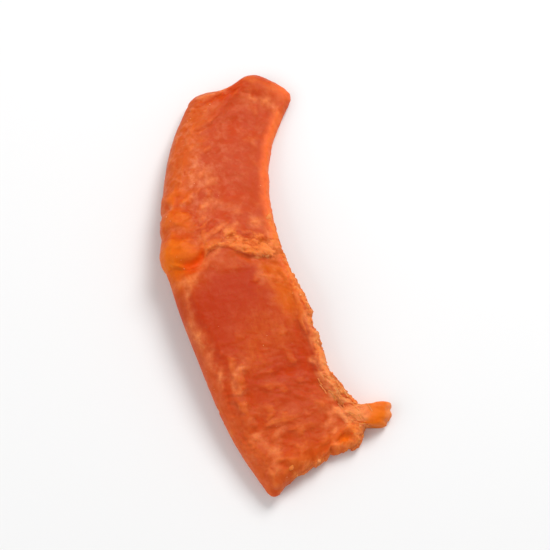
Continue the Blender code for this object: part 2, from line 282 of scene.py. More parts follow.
def length(name, description, default):
    """A property that holds a length in metres."""
    return bpy.props.FloatProperty(name=name, description=description, default=default, min=0.0,
                                   precision=5, subtype="DISTANCE", unit="LENGTH")


def per_area(name, description, default):
    """A property that holds a number of grains on a square metre."""
    return bpy.props.FloatProperty(name=name, description=description, default=default, min=0.0)


def colour(name, description, default):
    """A property that holds a colour."""
    return bpy.props.FloatVectorProperty(name=name, description=description, default=default, size=3,
                                         min=0.0, max=1.0, subtype="COLOR")


class PapayaForm(bpy.types.PropertyGroup):
    """Sizes of the slice and of what is on it."""
    outer_thickness: length("Outer thickness", "Thickness at the peeled edge", 11.2 * MM)
    inner_thickness: length("Inner thickness", "Thickness where the seeds were", 6.6 * MM)
    arch: length("Arch", "How far the slice is bent up at the crack", 3.4 * MM)
    ledge: length("Ledge", "Height of the step at the crack", 1.1 * MM)
    pocket: length("Pocket", "Depth of the pocket at the crack's outer end", 1.4 * MM)
    trough: length("Trough", "Depth of the trough towards the stem end", 1.4 * MM)
    folds: length("Folds", "Height of the small folds in the crumbly band", 0.42 * MM)
    wrinkles: length("Wrinkles", "Height of the fine wrinkles of the dried skin", 0.31 * MM)
    crust: length("Crust", "Height of the crust's roughness", 0.36 * MM)
    pits: length("Pits", "Depth of the small pits", 0.28 * MM)
    small_grain: length("Small sugar grain", "Size of the smallest grain of sugar", 0.12 * MM)
    grain: length("Sugar grain", "Size of a large grain of sugar", 0.34 * MM)
    grains: per_area("Sugar grains", "Grains of sugar on a square metre of flesh", 5.0e4)
    small_crumb: length("Small crumb", "Size of the smallest crumb of crust", 0.50 * MM)
    crumb: length("Crumb", "Size of a large crumb of crust", 1.5 * MM)
    crumbs: per_area("Crumbs", "Crumbs on a square metre of crust", 5.0e5)
    fibre: length("Fibre", "Thickness of a torn fibre", 0.32 * MM)
    fibre_length: length("Fibre length", "Length of the longest torn fibre", 3.2 * MM)
    fibres: per_area("Fibres", "Torn fibres on a square metre of crust", 2.0e5)
    seed: bpy.props.IntProperty(name="Seed", description="Chooses the pattern of all that is random",
                                default=7, min=0)


class PapayaColours(bpy.types.PropertyGroup):
    """Colours of the flesh, from its pale upper half to its crust."""
    # The pale upper half is lighter and pinker partly as painted sheen, and the deep lower half darker partly
    # as painted shade, as the halves face towards and away from the light.
    pale: colour("Pale flesh", "The pinkish flesh above the crack", (0.55, 0.066, 0.014))
    deep: colour("Deep flesh", "The red flesh below the crack", (0.485, 0.037, 0.004))
    peel: colour("Peeled edge", "The orange flesh along the outer edge", (0.63, 0.105, 0.014))
    glow: colour("Glow", "The bright orange of the lumps and the pocket", (0.71, 0.105, 0.000))
    tab: colour("Tab", "The bright torn tab", (0.82, 0.165, 0.000))
    rim: colour("Rim", "The thin bright edge where the seeds were", (0.84, 0.150, 0.030))
    # Crust also paints the highlights on the raised relief.
    crust: colour("Crust", "The yellow crust", (0.84, 0.210, 0.034))
    # Darker crust at random, and a little as painted shade on the low parts of its relief.
    crust_dark: colour("Crust shade", "The crust's hollows", (0.74, 0.120, 0.010))
    # Painted shade, vivid red-orange, in the pocket under the ledge.
    ember: colour("Ember", "The vivid red-orange inside the pocket", (0.80, 0.072, 0.000))
    # Painted shade in creases and hollows, and also a deep red tone of the flesh's own.
    crease: colour("Crease", "The deep red of creases and shaded hollows", (0.58, 0.046, 0.000))
    # Painted shade: the golden brown between the crumbly folds.
    hollow: colour("Hollow", "The golden brown between the crumbly folds", (0.52, 0.105, 0.010))
    # Cream also paints the highlights along ridges and on the tab.
    cream: colour("Cream", "Lines and fibres that have dried pale", (0.94, 0.300, 0.095))
    # Sugar bloom, which also paints sheen over the upper half.
    bloom: colour("Bloom", "Sugar that has dried on the surface", (0.90, 0.33, 0.16))
    sugar: colour("Sugar", "The grains of sugar", (0.92, 0.46, 0.24))


class PapayaStudio(bpy.types.PropertyGroup):
    """The floor, the lights and the camera."""
    floor: colour("Floor", "The pale floor", (0.86, 0.86, 0.86))
    key: bpy.props.FloatProperty(name="Key light", description="Power of the main soft light",
                                 default=3.0, min=0.0, unit="POWER")
    fill: bpy.props.FloatProperty(name="Fill light", description="Power of the light that softens shadows",
                                  default=1.1, min=0.0, unit="POWER")
    sky: bpy.props.FloatProperty(name="Surroundings", description="Strength of the light from all round",
                                 default=0.50, min=0.0)
    elevation: bpy.props.FloatProperty(name="Elevation", description="How steeply the camera looks down",
                                       default=math.radians(74), subtype="ANGLE", unit="ROTATION")
    lens: bpy.props.FloatProperty(name="Lens", description="Focal length in millimetres", default=130.0,
                                  min=20.0)
    share: bpy.props.FloatProperty(name="Share of the view", description="How much of the view's height "
                                   "the spear fills", default=0.80, min=0.1, max=1.0, subtype="FACTOR")


# ---- Curves and masks of shares -------------------------------------------------------------------------

def ease(start, end, x):
    """0 before start and 1 after end, with a smooth rise between."""
    share = np.clip((x - start) / (end - start), 0.0, 1.0)
    return share * share * (3.0 - 2.0 * share)


def span(marks, x):
    """1 between two smooth ramps: up from marks[0] to marks[1], and down from marks[2] to marks[3]."""
    return ease(marks[0], marks[1], x) * (1.0 - ease(marks[2], marks[3], x))


def hill(place, x):
    """A smooth hill of height 1: place is its middle and its width at half its height."""
    middle, width = place
    return np.exp(-(((x - middle) / (0.6 * width)) ** 2))


def spot(along, across, u, v):
    """A smooth round hill: along and across are each its middle and its width."""
    return hill(along, u) * hill(across, v)


def most(*fields):
    """The highest of the fields at each place."""
    return np.maximum.reduce(fields)


def distance_to(points, u, v):
    """How far each place is from the line through the points, in metres over the slice's face."""
    x, y = u * LENGTH, v * WIDTH
    nearest = np.full(u.shape, np.inf)
    for start, end in zip(points, points[1:]):
        start_x, start_y = start[0] * LENGTH, start[1] * WIDTH
        run_x, run_y = end[0] * LENGTH - start_x, end[1] * WIDTH - start_y
        share = ((x - start_x) * run_x + (y - start_y) * run_y) / (run_x**2 + run_y**2)
        share = np.clip(share, 0.0, 1.0)
        nearest = np.minimum(nearest, np.hypot(x - start_x - share * run_x, y - start_y - share * run_y))
    return nearest


def strokes(marks, u, v, seed, sharp):
    """The sum of lines with heights: rounded like a rope, or sharp like a fold."""
    u = u + LINE_WANDER / LENGTH * patch(u, v, 24, 7, seed, 3)
    v = v + LINE_WANDER / WIDTH * patch(u, v, 24, 7, seed + 40, 3)
    uneven = 1.0 + 0.55 * patch(u, v, 40, 11, seed + 80, 2)
    total = np.zeros_like(u)
    for height, width, points in marks:
        off = distance_to(points, u, v) / (0.5 * width * MM)
        total += height * MM * (np.exp(-off) if sharp else np.exp(-off * off / 2))
    return total * uneven


def pillows(u, v, seed):
    """Soft flat-topped swellings with steep sides."""
    u = u - 0.13 * (v - 0.14) + PILLOW_WANDER / LENGTH * patch(u, v, 30, 8, seed, 2)
    v = v + PILLOW_WANDER / WIDTH * patch(u, v, 30, 8, seed + 1, 2)
    total = np.zeros_like(u)
    for height, middle, size in PILLOWS:
        off = np.hypot((u - middle[0]) * LENGTH / (size[0] * MM), (v - middle[1]) * WIDTH / (size[1] * MM))
        total = np.maximum(total, height * MM * (1 - ease(0.22, 0.66, off)))
    return total


def noise(points, seed):
    """Smooth noise from -1 to 1 at an array of 3-D points, with features about one unit across."""
    cell = np.floor(points).astype(np.int64)
    within = points - cell
    blend = within**3 * (within * (within * 6 - 15) + 10)
    total = np.zeros(points.shape[:-1])
    for corner in itertools.product((0, 1), repeat=3):
        x, y, z = (cell[..., axis] + corner[axis] for axis in range(3))
        number = x * HASH_PLACE[0] ^ y * HASH_PLACE[1] ^ z * HASH_PLACE[2] ^ seed * HASH_SEED
        number = (number & WORD) * HASH_FIRST & WORD
        number = ((number ^ number >> 15) * HASH_SECOND) & WORD
        value = (number ^ number >> 13 & WORD) / (WORD >> 1) - 1.0
        weight = np.prod(np.where(np.array(corner) == 1, blend, 1 - blend), axis=-1)
        total = total + value * weight
    return total


def layered(points, seed, layers=3):
    """Noise whose finer layers are each half as high as the one before."""
    return sum(noise(points * 2**i, seed + 31 * i) / 2**i for i in range(layers))


def patch(u, v, scale_u, scale_v, seed, layers=2):
    """Layered noise over the shares, with the given number of features along and across.

    Each pattern adds a number of its own to the seed, so that no two are alike.
    """
    return layered(np.stack([u * scale_u, v * scale_v, np.zeros_like(u)], axis=-1), seed, layers)


# ---- The form of the slice ------------------------------------------------------------------------------

def smooth_edge(points, shares):
    """Points at the given shares of the length of a smooth curve through the points."""
    points = np.array(points, float)
    knots = np.concatenate([[0.0], np.cumsum(np.linalg.norm(np.diff(points, axis=0), axis=1) ** 0.5)])
    slopes = np.gradient(points, knots, axis=0)
    at = np.linspace(0.0, knots[-1], FINE)
    part = np.clip(np.searchsorted(knots, at, side="right") - 1, 0, len(knots) - 2)
    gap = (knots[part + 1] - knots[part])[:, None]
    t = (at - knots[part])[:, None] / gap
    curve = ((2 * t**3 - 3 * t**2 + 1) * points[part] + (t**3 - 2 * t**2 + t) * gap * slopes[part]
             + (3 * t**2 - 2 * t**3) * points[part + 1] + (t**3 - t**2) * gap * slopes[part + 1])
    run = np.concatenate([[0.0], np.cumsum(np.linalg.norm(np.diff(curve, axis=0), axis=1))])
    wanted = shares * run[-1]
    return np.stack([np.interp(wanted, run, curve[:, axis]) for axis in (0, 1)], axis=-1)


def round_corners(u, v):
    """The shares moved so that the square's four corners become quarter circles."""
    far_u, far_v = 2 * u - 1, 2 * v - 1
    flat_u, flat_v = 1 - 2 * CORNER_ROUND_ALONG, 1 - 2 * CORNER_ROUND_ACROSS
    a = np.clip((abs(far_u) - flat_u) / (1 - flat_u), 0, None)
    b = np.clip((abs(far_v) - flat_v) / (1 - flat_v), 0, None)
    pull_u = a * (1 - np.sqrt(1 - b * b / 2)) * (1 - flat_u)
    pull_v = b * (1 - np.sqrt(1 - a * a / 2)) * (1 - flat_v)
    return (1 + far_u - np.sign(far_u) * pull_u) / 2, (1 + far_v - np.sign(far_v) * pull_v) / 2


def tab_zone(u, v):
    """1 on the rim of the torn tab, falling to 0 on the slice itself."""
    return (1.0 - ease(0.8, 1.0, abs(u - TAB_AT) / TAB_REACH)) * ease(TAB_ROOT, 1.0, v)


def between_edges(u, v):
    """The patch between the four edges, with the torn tab pulled out of the inner one."""
    outer, inner = smooth_edge(OUTER_EDGE, u), smooth_edge(INNER_EDGE, u)
    stem, blossom = smooth_edge(STEM_END, v), smooth_edge(BLOSSOM_END, v)
    a, b = u[:, :, None], v[:, :, None]
    ends = [np.array(points[i]) for points in (STEM_END, BLOSSOM_END) for i in (0, -1)]
    corners = (1 - a) * ((1 - b) * ends[0] + b * ends[1]) + a * ((1 - b) * ends[2] + b * ends[3])
    place = (1 - b) * outer + b * inner + (1 - a) * stem + a * blossom - corners
    tab_run = np.clip((u - TAB_AT) / TAB_REACH / 2 + 0.5, 0, 1)
    roots = [tuple(smooth_edge(INNER_EDGE, np.array(TAB_AT + side * TAB_REACH))) for side in (-1, 1)]
    pulled = smooth_edge((roots[0], *TAB_EDGE, roots[1]), tab_run) - inner
    on_tab = abs(u - TAB_AT) < TAB_REACH
    return place + (on_tab * ease(TAB_ROOT, 1.0, v))[:, :, None] * pulled


def plan(u, v, seed):
    """Where the grid of shares lies in plan: the patch with ragged edges, a scalloped end and lumps."""
    u, v = round_corners(u, v)
    place = between_edges(u, v)
    ragged = patch(u, v, 26, 0.5, seed, 4) * ease(0.80, 1.0, v) * (0.25 + 0.75 * ease(0.40, 0.6, u))
    scallops = abs(np.sin(math.pi * (5.2 * v + 0.3))) - 0.6 + 0.5 * patch(u, v, 1, 24, seed + 1, 2)
    torn = ease(0.93, 1.0, u) * ease(0.10, 0.3, v)
    bulge = SIDE_BULGE * hill((0.412, 0.075), u) * (1 - ease(0.0, 0.3, v))
    lumps = pillows(u, np.full_like(v, 0.12), seed) * (1 - ease(0.0, 0.25, v))
    place[:, :, 0] += RAGGED_EDGE * ragged * (1 - 0.6 * tab_zone(u, v)) - bulge
    place[:, :, 0] -= 0.8 * lumps * (1 - ease(0.46, 0.50, u))
    place[:, :, 1] -= SCALLOPS * scallops * torn
    return untangled(place)


def untangled(place):
    """The plan with each cell that folds over, beside the tab, pulled straight by its neighbours."""
    for _ in range(UNTANGLE_STEPS):
        along, across = np.diff(place, axis=0)[:, :-1], np.diff(place, axis=1)[:-1]
        turn = along[:, :, 0] * across[:, :, 1] - along[:, :, 1] * across[:, :, 0]
        folded = np.pad(turn * np.median(turn) <= 0, ((0, 1), (0, 1)))
        if not folded.any():
            break
        for axis in (0, 1):
            folded = np.any([np.roll(folded, shift, axis) for shift in range(-3, 4)], axis=0)
        beyond = 2 * place[:, -1:] - place[:, -2:-1]
        wide = np.concatenate([place, beyond], axis=1)
        middle = (wide[:-2, 1:-1] + wide[2:, 1:-1] + wide[1:-1, :-2] + wide[1:-1, 2:]) / 4
        place[1:-1, 1:] += UNTANGLE_PULL * folded[1:-1, 1:, None] * (middle - place[1:-1, 1:])
    return place


def rounding(place):
    """How much of the full thickness is left at each grid point, from 0 on the rim to 1 inside."""
    def share(distance, reach):
        """A quarter circle: 0 at the rim and 1 from reach on."""
        near = np.clip(1.0 - distance / reach, 0.0, 1.0)
        return np.sqrt(1.0 - near * near)

    def run(axis, backwards):
        """How far each grid point is from the rim along one of the grid's directions."""
        order = np.flip(place, axis) if backwards else place
        steps = np.linalg.norm(np.diff(order, axis=axis), axis=2)
        start = np.zeros_like(np.take(steps, [0], axis=axis))
        total = np.cumsum(np.concatenate([start, steps], axis=axis), axis=axis)
        return np.flip(total, axis) if backwards else total

    return (share(run(1, False), OUTER_ROUND) * share(run(1, True), INNER_ROUND)
            * share(run(0, False), END_ROUND) * share(run(0, True), END_ROUND))


def thickness(form, u, v):
    """The slice's full thickness: less towards the inner edge, the two ends and the tab."""
    across = form.outer_thickness + (form.inner_thickness - form.outer_thickness) * ease(0.15, 0.95, v)
    along = 1.0 - 0.28 * (1 - ease(0.0, 0.22, u)) - 0.22 * ease(0.74, 1.0, u)
    return across * along * (1.0 - 0.25 * tab_zone(u, v))


def crack_line(v, seed):
    """The share along at which the crack crosses the slice, with its small jogs."""
    bow = CRACK_BOW * (ease(0.05, 0.20, v) - ease(0.27, 0.385, v))
    jogs = CRACK_JOGS * patch(v, v, 9, 0.5, seed + 5, 3) * ease(0.28, 0.45, v)
    fall = CRACK_FALL * (ease(0.46, 0.70, v) - 0.10 * ease(0.76, 0.95, v))
    return CRACK_AT + bow + fall + jogs


def pocket_line(place, past, v):
    """A hill along the leaning line of the pocket: place is its middle past the crack and its width."""
    return hill(place, past + POCKET_LEAN * (v - POCKET_MIDDLE))


def crack_relief(form, u, v):
    """The ledge at the crack with its lip, the pocket under it and the crumbly band above it."""
    past = u - crack_line(v, form.seed)
    below = ease(-0.0035, 0.0035, past)
    proud = np.exp(-np.clip(-past, 0, 1) / 0.07)
    sunk = -0.4 * np.exp(-np.clip(past, 0, 1) / 0.05)
    worn = 0.35 * ease(0.34, 0.52, v) + 0.35 * span((0.36, 0.42, 0.54, 0.62), v)
    worn = worn + 0.5 * span((0.08, 0.16, 0.30, 0.36), v) + 0.6 * ease(0.84, 0.92, v)
    ledge = form.ledge * (proud * (1 - below) + sunk * below) * (1 - worn)
    pocket = form.pocket * pocket_line((-0.007, 0.022), past, v) * span((0.06, 0.19, 0.29, 0.37), v)
    band = span((-0.080, -0.045, -0.002, 0.004), past) * ease(0.46, 0.62, v)
    corner = span((0.49, 0.51, 0.57, 0.60), u) * ease(0.74, 0.84, v)
    rough = most(CRUMBLY_ROUGHNESS * band, WEDGE_ROUGHNESS * corner)
    crumbly = patch(u, v, 70, 16, form.seed + 12, 3) * rough
    puffs = ease(0.0, 0.40, abs(patch(u + 0.06 * v, v, 46, 7, form.seed + 13, 2))) - 0.7
    folds = form.folds * puffs * span((-0.084, -0.056, -0.006, 0.002), past) * ease(0.30, 0.44, v)
    return ledge - pocket + crumbly + folds


def stem_relief(form, u, v):
    """The trough and the lobe towards the stem end, and the soft unevenness of the upper half."""
    trough = form.trough * span((0.04, 0.15, 0.32, 0.43), u) * hill((0.62, 0.44), v)
    lobe = LOBE * hill((0.02, 0.05), u) * (hill((0.72, 0.30), v) - 0.6 * hill((0.42, 0.20), v))
    upper_half = 1 - ease(0.42, 0.50, u)
    soft = UPPER_SWELLS * patch(u, v, 9, 4, form.seed + 20, 3) * upper_half
    bands = UPPER_BANDS * patch(u, v, 34, 5, form.seed + 21, 3) * upper_half * span((0.1, 0.2, 0.9, 1.0), v)
    rolled = upper_half * (1 - ease(0.30, 0.52, v)) + spot((0.38, 0.14), (0.50, 0.50), u, v)
    flecks = UPPER_FLECKS * ease(-0.10, 0.85, patch(u, v, 52, 13, form.seed + 22, 3)) * rolled
    return lobe - trough + soft + bands + flecks


def blossom_relief(form, u, v):
    """The crust along the inner edge, the tab's hollow, and the shrunken surface of the lower half."""
    edge = span((0.48, 0.60, 1.0, 1.1), u) * hill((0.93, 0.13), v)
    crust = CRUST_RIDGE * edge * (1.0 + 0.5 * patch(u, v + 0.25 * u, 30, 30, form.seed + 30, 3))
    tab_hollow = TAB_HOLLOW * spot((TAB_AT, 0.040), (0.905, 0.025), u, v)
    tab_bulge = TAB_BULGE * spot((TAB_AT, 0.030), (0.960, 0.05), u, v)
    lower_half = ease(0.60, 0.74, u)
    soft = LOWER_SWELLS * patch(u, v, 10, 4, form.seed + 36, 3) * lower_half
    bands = LOWER_BANDS * patch(u + 0.02 * v, v, 26, 6, form.seed + 37, 2) * lower_half
    flecks = LOWER_FLECKS * ease(-0.10, 0.90, patch(u, v, 40, 11, form.seed + 39, 3)) * lower_half
    calm = CALM_SWELLS * patch(u, v, 6, 9, form.seed + 38, 3) * span((0.47, 0.52, 0.62, 0.74), u)
    return crust - tab_hollow + tab_bulge + soft + bands + flecks + calm


def under_relief(seed, u, v):
    """The underside between the two flat feet: shrunk in, with a few long creases."""
    hollow = UNDER_HOLLOW * span((0.10, 0.25, 0.70, 0.85), u) * hill((0.50, 0.45), v)
    creases = UNDER_CREASES * abs(patch(u, v, 5, 7, seed + 50, 3)) * span((0.06, 0.2, 0.8, 0.94), u)
    return hollow + creases


def peel_relief(seed, u, v):
    """Long flats and nicks that the peeler left on the outer wall."""
    return PEEL_FLATS * patch(u, v, 6, 10, seed + 60, 3) * (1 - ease(0.10, 0.26, v))


def crowded_shares():
    """The shares of the grid's lines along, crowded at the ends and the tab, and of those across."""
    even = np.linspace(0.0, 1.0, 4 * FINE)
    crowding = 1.0 + CROWDED_ENDS * (hill((0.0, 0.02), even) + hill((1.0, 0.02), even))
    crowding += CROWDED_TAB * hill((TAB_AT, 2.2 * TAB_REACH), even)
    run = np.cumsum(crowding) - crowding[0]
    along = np.interp(np.linspace(0.0, run[-1], STEPS_ALONG + 1), run, even)
    across = 0.5 - 0.5 * np.cos(np.linspace(0.0, math.pi, STEPS_ACROSS + 1))
    return along, (1 - EVEN_ACROSS) * across + EVEN_ACROSS * np.linspace(0.0, 1.0, STEPS_ACROSS + 1)


def slice_skins(form):
    """The shares of the fine grid, its upper and lower face as points, and the upper face's relief."""
    u, v = np.meshgrid(*crowded_shares(), indexing="ij")
    place = plan(u, v, form.seed)
    left = rounding(place)
    full = thickness(form, u, v)
    middle = form.arch * span((0.06, 0.46, 0.46, 0.92), u) - FLAT_SINK + 0.5 * full
    drawn = strokes(RIDGES, u, v, form.seed + 90, False) - strokes(CREASES, u, v, form.seed + 95, True)
    drawn += strokes(STRANDS, u, v, form.seed + 97, False)
    relief = (crack_relief(form, u, v) + stem_relief(form, u, v) + blossom_relief(form, u, v)
              + peel_relief(form.seed, u, v) + drawn + pillows(u, v, form.seed))
    upper = middle + left * (0.5 * full + relief)
    lower = np.maximum(middle - left * (0.5 * full - under_relief(form.seed, u, v)), 0.0)
    return u, v, np.dstack([place, upper]), np.dstack([place, lower]), relief


# ---- Where each finish lies -----------------------------------------------------------------------------

def blurred(field, cells):
    """The field averaged twice over a square of that many cells to each side."""
    kernel = np.full(2 * cells + 1, 1.0 / (2 * cells + 1))
    for axis in (0, 1, 0, 1):
        margin = [(cells, cells) if i == axis else (0, 0) for i in (0, 1)]
        padded = np.pad(field, margin, mode="edge")
        field = np.apply_along_axis(lambda row: np.convolve(row, kernel, "valid"), axis, padded)
    return field


class Face:
    """The shown face: its shares, and the places that several of its finishes are worked out from."""

    def __init__(self, form, u, v, relief):
        self.seed = form.seed
        self.u = u
        self.v = v
        self.past = u - crack_line(v, self.seed)
        self.lower = ease(-0.004, 0.010, self.past)
        self.upper = 1 - self.lower
        self.cloud = patch(u, v, 16, 5, self.seed + 70, 3)
        self.fine = patch(u, v, 60, 16, self.seed + 71, 3)
        self.raised = np.clip((relief - blurred(relief, RAISED_CELLS)) / RAISED_BY, -1, 1)
        self.thumb = spot((0.478, 0.050), (0.50, 0.36), u, v) * self.lower
        self.corner = span((0.485, 0.515, 0.60, 0.68), u) * ease(0.60, 0.82, v + 0.06 * self.fine)
        self.flare = spot((0.435, 0.085), (0.06, 0.20), u, v)
        self.curl_pocket = spot((0.974, 0.036), (0.850, 0.16), u, v)
        self.strands = span((0.76, 0.81, 0.91, 0.94), u) * span((0.80, 0.84, 0.95, 0.98), v)
        self.tab = ease(*WHOLE_TAB, tab_zone(u, v))


def flesh_masks(face):
    """Where the flesh is deep red (partly painted shade), peeled or warm, and where sugar bloom with painted
    sheen lies.
    """
    u, v, cloud = face.u, face.v, face.cloud
    # The lower half's deep red is partly painted shade.
    deep = face.lower * (1 - 0.75 * face.thumb) * (1 - 0.45 * ease(0.66, 0.84, u))
    deep = deep * (1 + 0.3 * cloud) + 0.25 * np.clip(-cloud, 0, 1)
    upper_edge = (1 - ease(0.20, 0.42, v + 0.10 * cloud)) * face.upper
    lower_edge = (1 - ease(0.03, 0.15, v + 0.04 * cloud)) * face.lower
    by_pocket = spot((0.495, 0.035), (0.14, 0.26), u, v) * face.lower
    side = (1 - ease(0.24, 0.36, v + 0.05 * cloud)) * ease(0.66, 0.80, u)
    under_crack = span((0.0, 0.006, 0.016, 0.040), face.past) * ease(0.46, 0.62, v)
    peel = most(upper_edge, 0.35 * lower_edge, 0.8 * by_pocket, 0.35 * side, 0.55 * face.thumb,
                0.68 * face.corner, 0.75 * under_crack)
    warm = spot((0.67, 0.10), (0.62, 0.45), u, v) + 0.7 * spot((0.72, 0.07), (0.42, 0.16), u, v)
    warm = warm + 0.9 * ease(0.74, 0.90, u) * (1 - 0.4 * hill((0.5, 0.4), v))
    # Sugar bloom, which also stands for painted sheen on the upper half.
    bloom = 0.7 * face.upper * span((0.06, 0.14, 0.38, 0.44), u) * hill((0.58, 0.50), v)
    bloom = bloom + spot((0.27, 0.16), (0.34, 0.34), u, v)
    return {"deep": deep, "peel": peel, "warm": warm, "bloom": bloom}


def glow_masks(face):
    """Where the lumps, the pocket and the tab are bright, and where shade is painted in the pocket under the
    ledge and into hollows.
    """
    u, v, past = face.u, face.v, face.past
    lumps = np.clip(pillows(u, v, face.seed) / (0.35 * MM), 0, 1) * span((0.25, 0.29, 0.46, 0.48), u)
    lumps = lumps * (1 - ease(0.26, 0.36, v)) * face.upper
    pocket = pocket_line((-0.010, 0.028), past, v) * span((0.05, 0.14, 0.32, 0.38), v)
    low_end = ease(0.90, 1.0, u) * ease(0.1, 0.3, v)
    glow = most(0.8 * lumps, pocket, 0.6 * low_end, face.flare)
    # Painted shade in the pocket under the ledge.
    ember = pocket_line((-0.009, 0.020), past, v) * span((0.10, 0.19, 0.30, 0.35), v)
    # Painted shade under the stem end's lip, in the hollow by the tab, and in the crevice under the pocket.
    shade_by_stem = spot((0.042, 0.035), (0.36, 0.40), u, v)
    shade_by_tab = spot((0.885, 0.03), (0.82, 0.07), u, v)
    shade_under_pocket = spot((0.479, 0.020), (0.15, 0.10), u, v)
    shade = np.clip(0.7 * shade_by_stem + 0.5 * shade_by_tab + 0.45 * shade_under_pocket, 0, 1)
    wedge = face.corner * span((0.68, 0.80, 0.88, 0.95), v)
    tab = most(face.tab, 0.80 * face.curl_pocket, 0.8 * face.flare, 0.45 * wedge)
    return {"glow": glow, "ember": ember, "shade": shade, "tab": tab}


def crust_mask(face):
    """The crust: the crumbly band and the lip above the crack, the inner edge and the blossom end."""
    u, v, fine = face.u, face.v, face.fine
    band = span((-0.074, -0.036, -0.001, 0.003), face.past - 0.012 * fine)
    band = band * ease(0.42, 0.60, v + 0.05 * fine)
    lip = hill((-0.004, 0.012), face.past) * ease(0.26, 0.36, v)
    inner_band = spot((0.462, 0.055), (0.86, 0.22), u, v)
    corner = face.corner * ease(0.78, 0.92, v)
    width = 0.050 + 0.095 * ease(0.70, 0.88, u) + 0.02 * patch(u, v, 22, 1, face.seed + 74, 2)
    edge = ease(0.28, 0.44, u) * ease(1 - 1.5 * width, 1 - 0.5 * width, v + 0.02 * fine)
    end = ease(0.962, 1.0, u + 0.012 * fine) * ease(0.12, 0.30, v)
    crust = most(0.74 * band, 0.55 * lip, 0.9 * inner_band, 0.30 * corner, 0.9 * edge, 0.6 * end)
    crust = crust * (1 - 0.9 * most(face.tab, 0.8 * face.flare)) * (1 - 0.35 * face.strands)
    return crust * (1 - 0.8 * face.curl_pocket)


def rim_mask(face):
    """The thin bright edges: the inner one, the stem end's corner, the peeled one and the curl."""
    u, v, fine = face.u, face.v, face.fine
    inner = ease(0.875, 0.968, v + 0.01 * fine) * span((0.04, 0.09, 0.56, 0.66), u)
    by_crack = ease(0.90, 0.95, v + 0.03 * fine) * span((0.32, 0.40, 0.50, 0.56), u)
    stem_corner = spot((0.010, 0.055), (0.93, 0.20), u, v)
    outer = (1 - ease(0.04, 0.14, v)) * ease(0.62, 0.70, u)
    curl = (0.60 + 0.35 * ease(0.91, 0.96, v)) * ease(0.935, 0.965, u) * ease(0.60, 0.75, v)
    return most(inner, 0.8 * by_crack, 0.9 * stem_corner, 0.35 * outer, curl)


def pale_and_highlight_mask(face):
    """The pale lines and strands, partly dried pale and partly painted highlights along ridges, and the
    painted highlight on the tab's top edge and tip.
    """
    u, v = face.u, face.v
    lines = strokes(PALE_AND_HIGHLIGHT_LINES, u, v, face.seed + 97, False) / MM * (0.7 + 0.5 * face.fine)
    strands = strokes(STRANDS, u, v, face.seed + 97, False) / (0.45 * MM)
    along_tab = (u - TAB_AT) / TAB_REACH
    # Painted highlight along the tab's top edge and at its tip.
    top = 1 - ease(-0.55, 0.10, along_tab)
    tip = ease(0.955, 0.99, v) * (1 - ease(0.1, 0.6, along_tab))
    painted_tab_highlight = ease(0.35, 0.80, tab_zone(u, v)) * most(top, 0.7 * tip)
    return np.clip(most(lines, strands) * (1 - 0.9 * face.tab) + 0.9 * painted_tab_highlight, 0, 1)


def skin_masks(face, bloom):
    """Where the dried skin is wrinkled and pitted."""
    u, v = face.u, face.v
    wrinkle = 0.45 + 0.30 * ease(0.64, 0.78, u) + 0.3 * (1 - ease(0.1, 0.4, v))
    wrinkle = wrinkle * (1 - 0.55 * bloom) * (1 - 0.6 * span((0.47, 0.50, 0.60, 0.70), u))
    wrinkle = wrinkle * (0.35 + 0.65 * ease(0.0, 0.10, v))
    pits = 0.25 + (1 - ease(0.25, 0.45, v)) * face.upper + 0.8 * ease(0.70, 0.85, u)
    return {"wrinkle": wrinkle, "pits": pits}


def loose_masks(face, crust):
    """Where crumbs, torn fibres and grains of sugar lie."""
    u, v = face.u, face.v
    smooth = span((0.455, 0.480, 0.58, 0.66), u) * ease(0.86, 0.92, v)
    crumbs = crust**2 * (1 - 0.75 * smooth) * (1 - 0.9 * span((0.34, 0.38, 0.47, 0.49), u))
    crumbs = crumbs * (1 - 0.8 * ease(0.92, 0.94, u) * ease(0.6, 0.7, v))
    sugar = 0.2 + (1 - ease(0.3, 0.5, v)) * face.upper + 0.6 * ease(0.6, 0.8, u)
    sugar = sugar * ease(0.0, 0.5, patch(u, v, 22, 6, face.seed + 73, 2))
    return {"crumbs": crumbs, "fibre": face.strands * (1 - face.tab), "sugar": sugar}


def upper_masks(form, u, v, relief):
    """How much of each finish the shown face has, from 0 to 1, by the name of its attribute."""
    face = Face(form, u, v, relief)
    flesh = flesh_masks(face)
    crust = crust_mask(face)
    return {**flesh, **glow_masks(face), **skin_masks(face, flesh["bloom"]), **loose_masks(face, crust),
            "crust": crust, "rim": rim_mask(face), "pale": pale_and_highlight_mask(face), "raised": face.raised}


def lower_masks(seed, u, v):
    """The same for the face that lies down, which is redder and more wrinkled."""
    edge = ease(0.90, 0.985, v)
    between_feet = span((0.10, 0.22, 0.76, 0.88), u)
    return {**dict.fromkeys(SHOWN_ONLY, np.zeros_like(u)),
            "deep": 0.7 + 0.25 * patch(u, v, 12, 5, seed + 80, 3),
            "peel": 1 - ease(0.1, 0.3, v),
            "glow": 0.25 * edge,
            "crust": 0.75 * edge * ease(0.4, 0.6, u) * (1 - tab_zone(u, v)),
            "rim": edge * (1 - ease(0.4, 0.5, u)),
            "tab": ease(*WHOLE_TAB, tab_zone(u, v)),
            "wrinkle": 0.9 * between_feet,
            "pits": 0.5 * between_feet,
            "crumbs": 0.4 * edge * ease(0.45, 0.6, u) * (1 - ease(0.8, 0.9, u))}


def stand_in_frame(points):
    """Moves the points so that they stand where the CAD node does."""
    low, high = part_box(NODE)
    middle = (points.min(0) + points.max(0)) / 2
    target = (low + high) / 2
    return points + np.array([target.x - middle[0], target.y - middle[1], low.z - points[:, 2].min()])


def cells(index):
    """The four corners of each cell of a grid of indices, in turn."""
    corners = (index[:-1, :-1], index[1:, :-1], index[1:, 1:], index[:-1, 1:])
    return np.stack(corners, axis=-1).reshape(-1, 4)


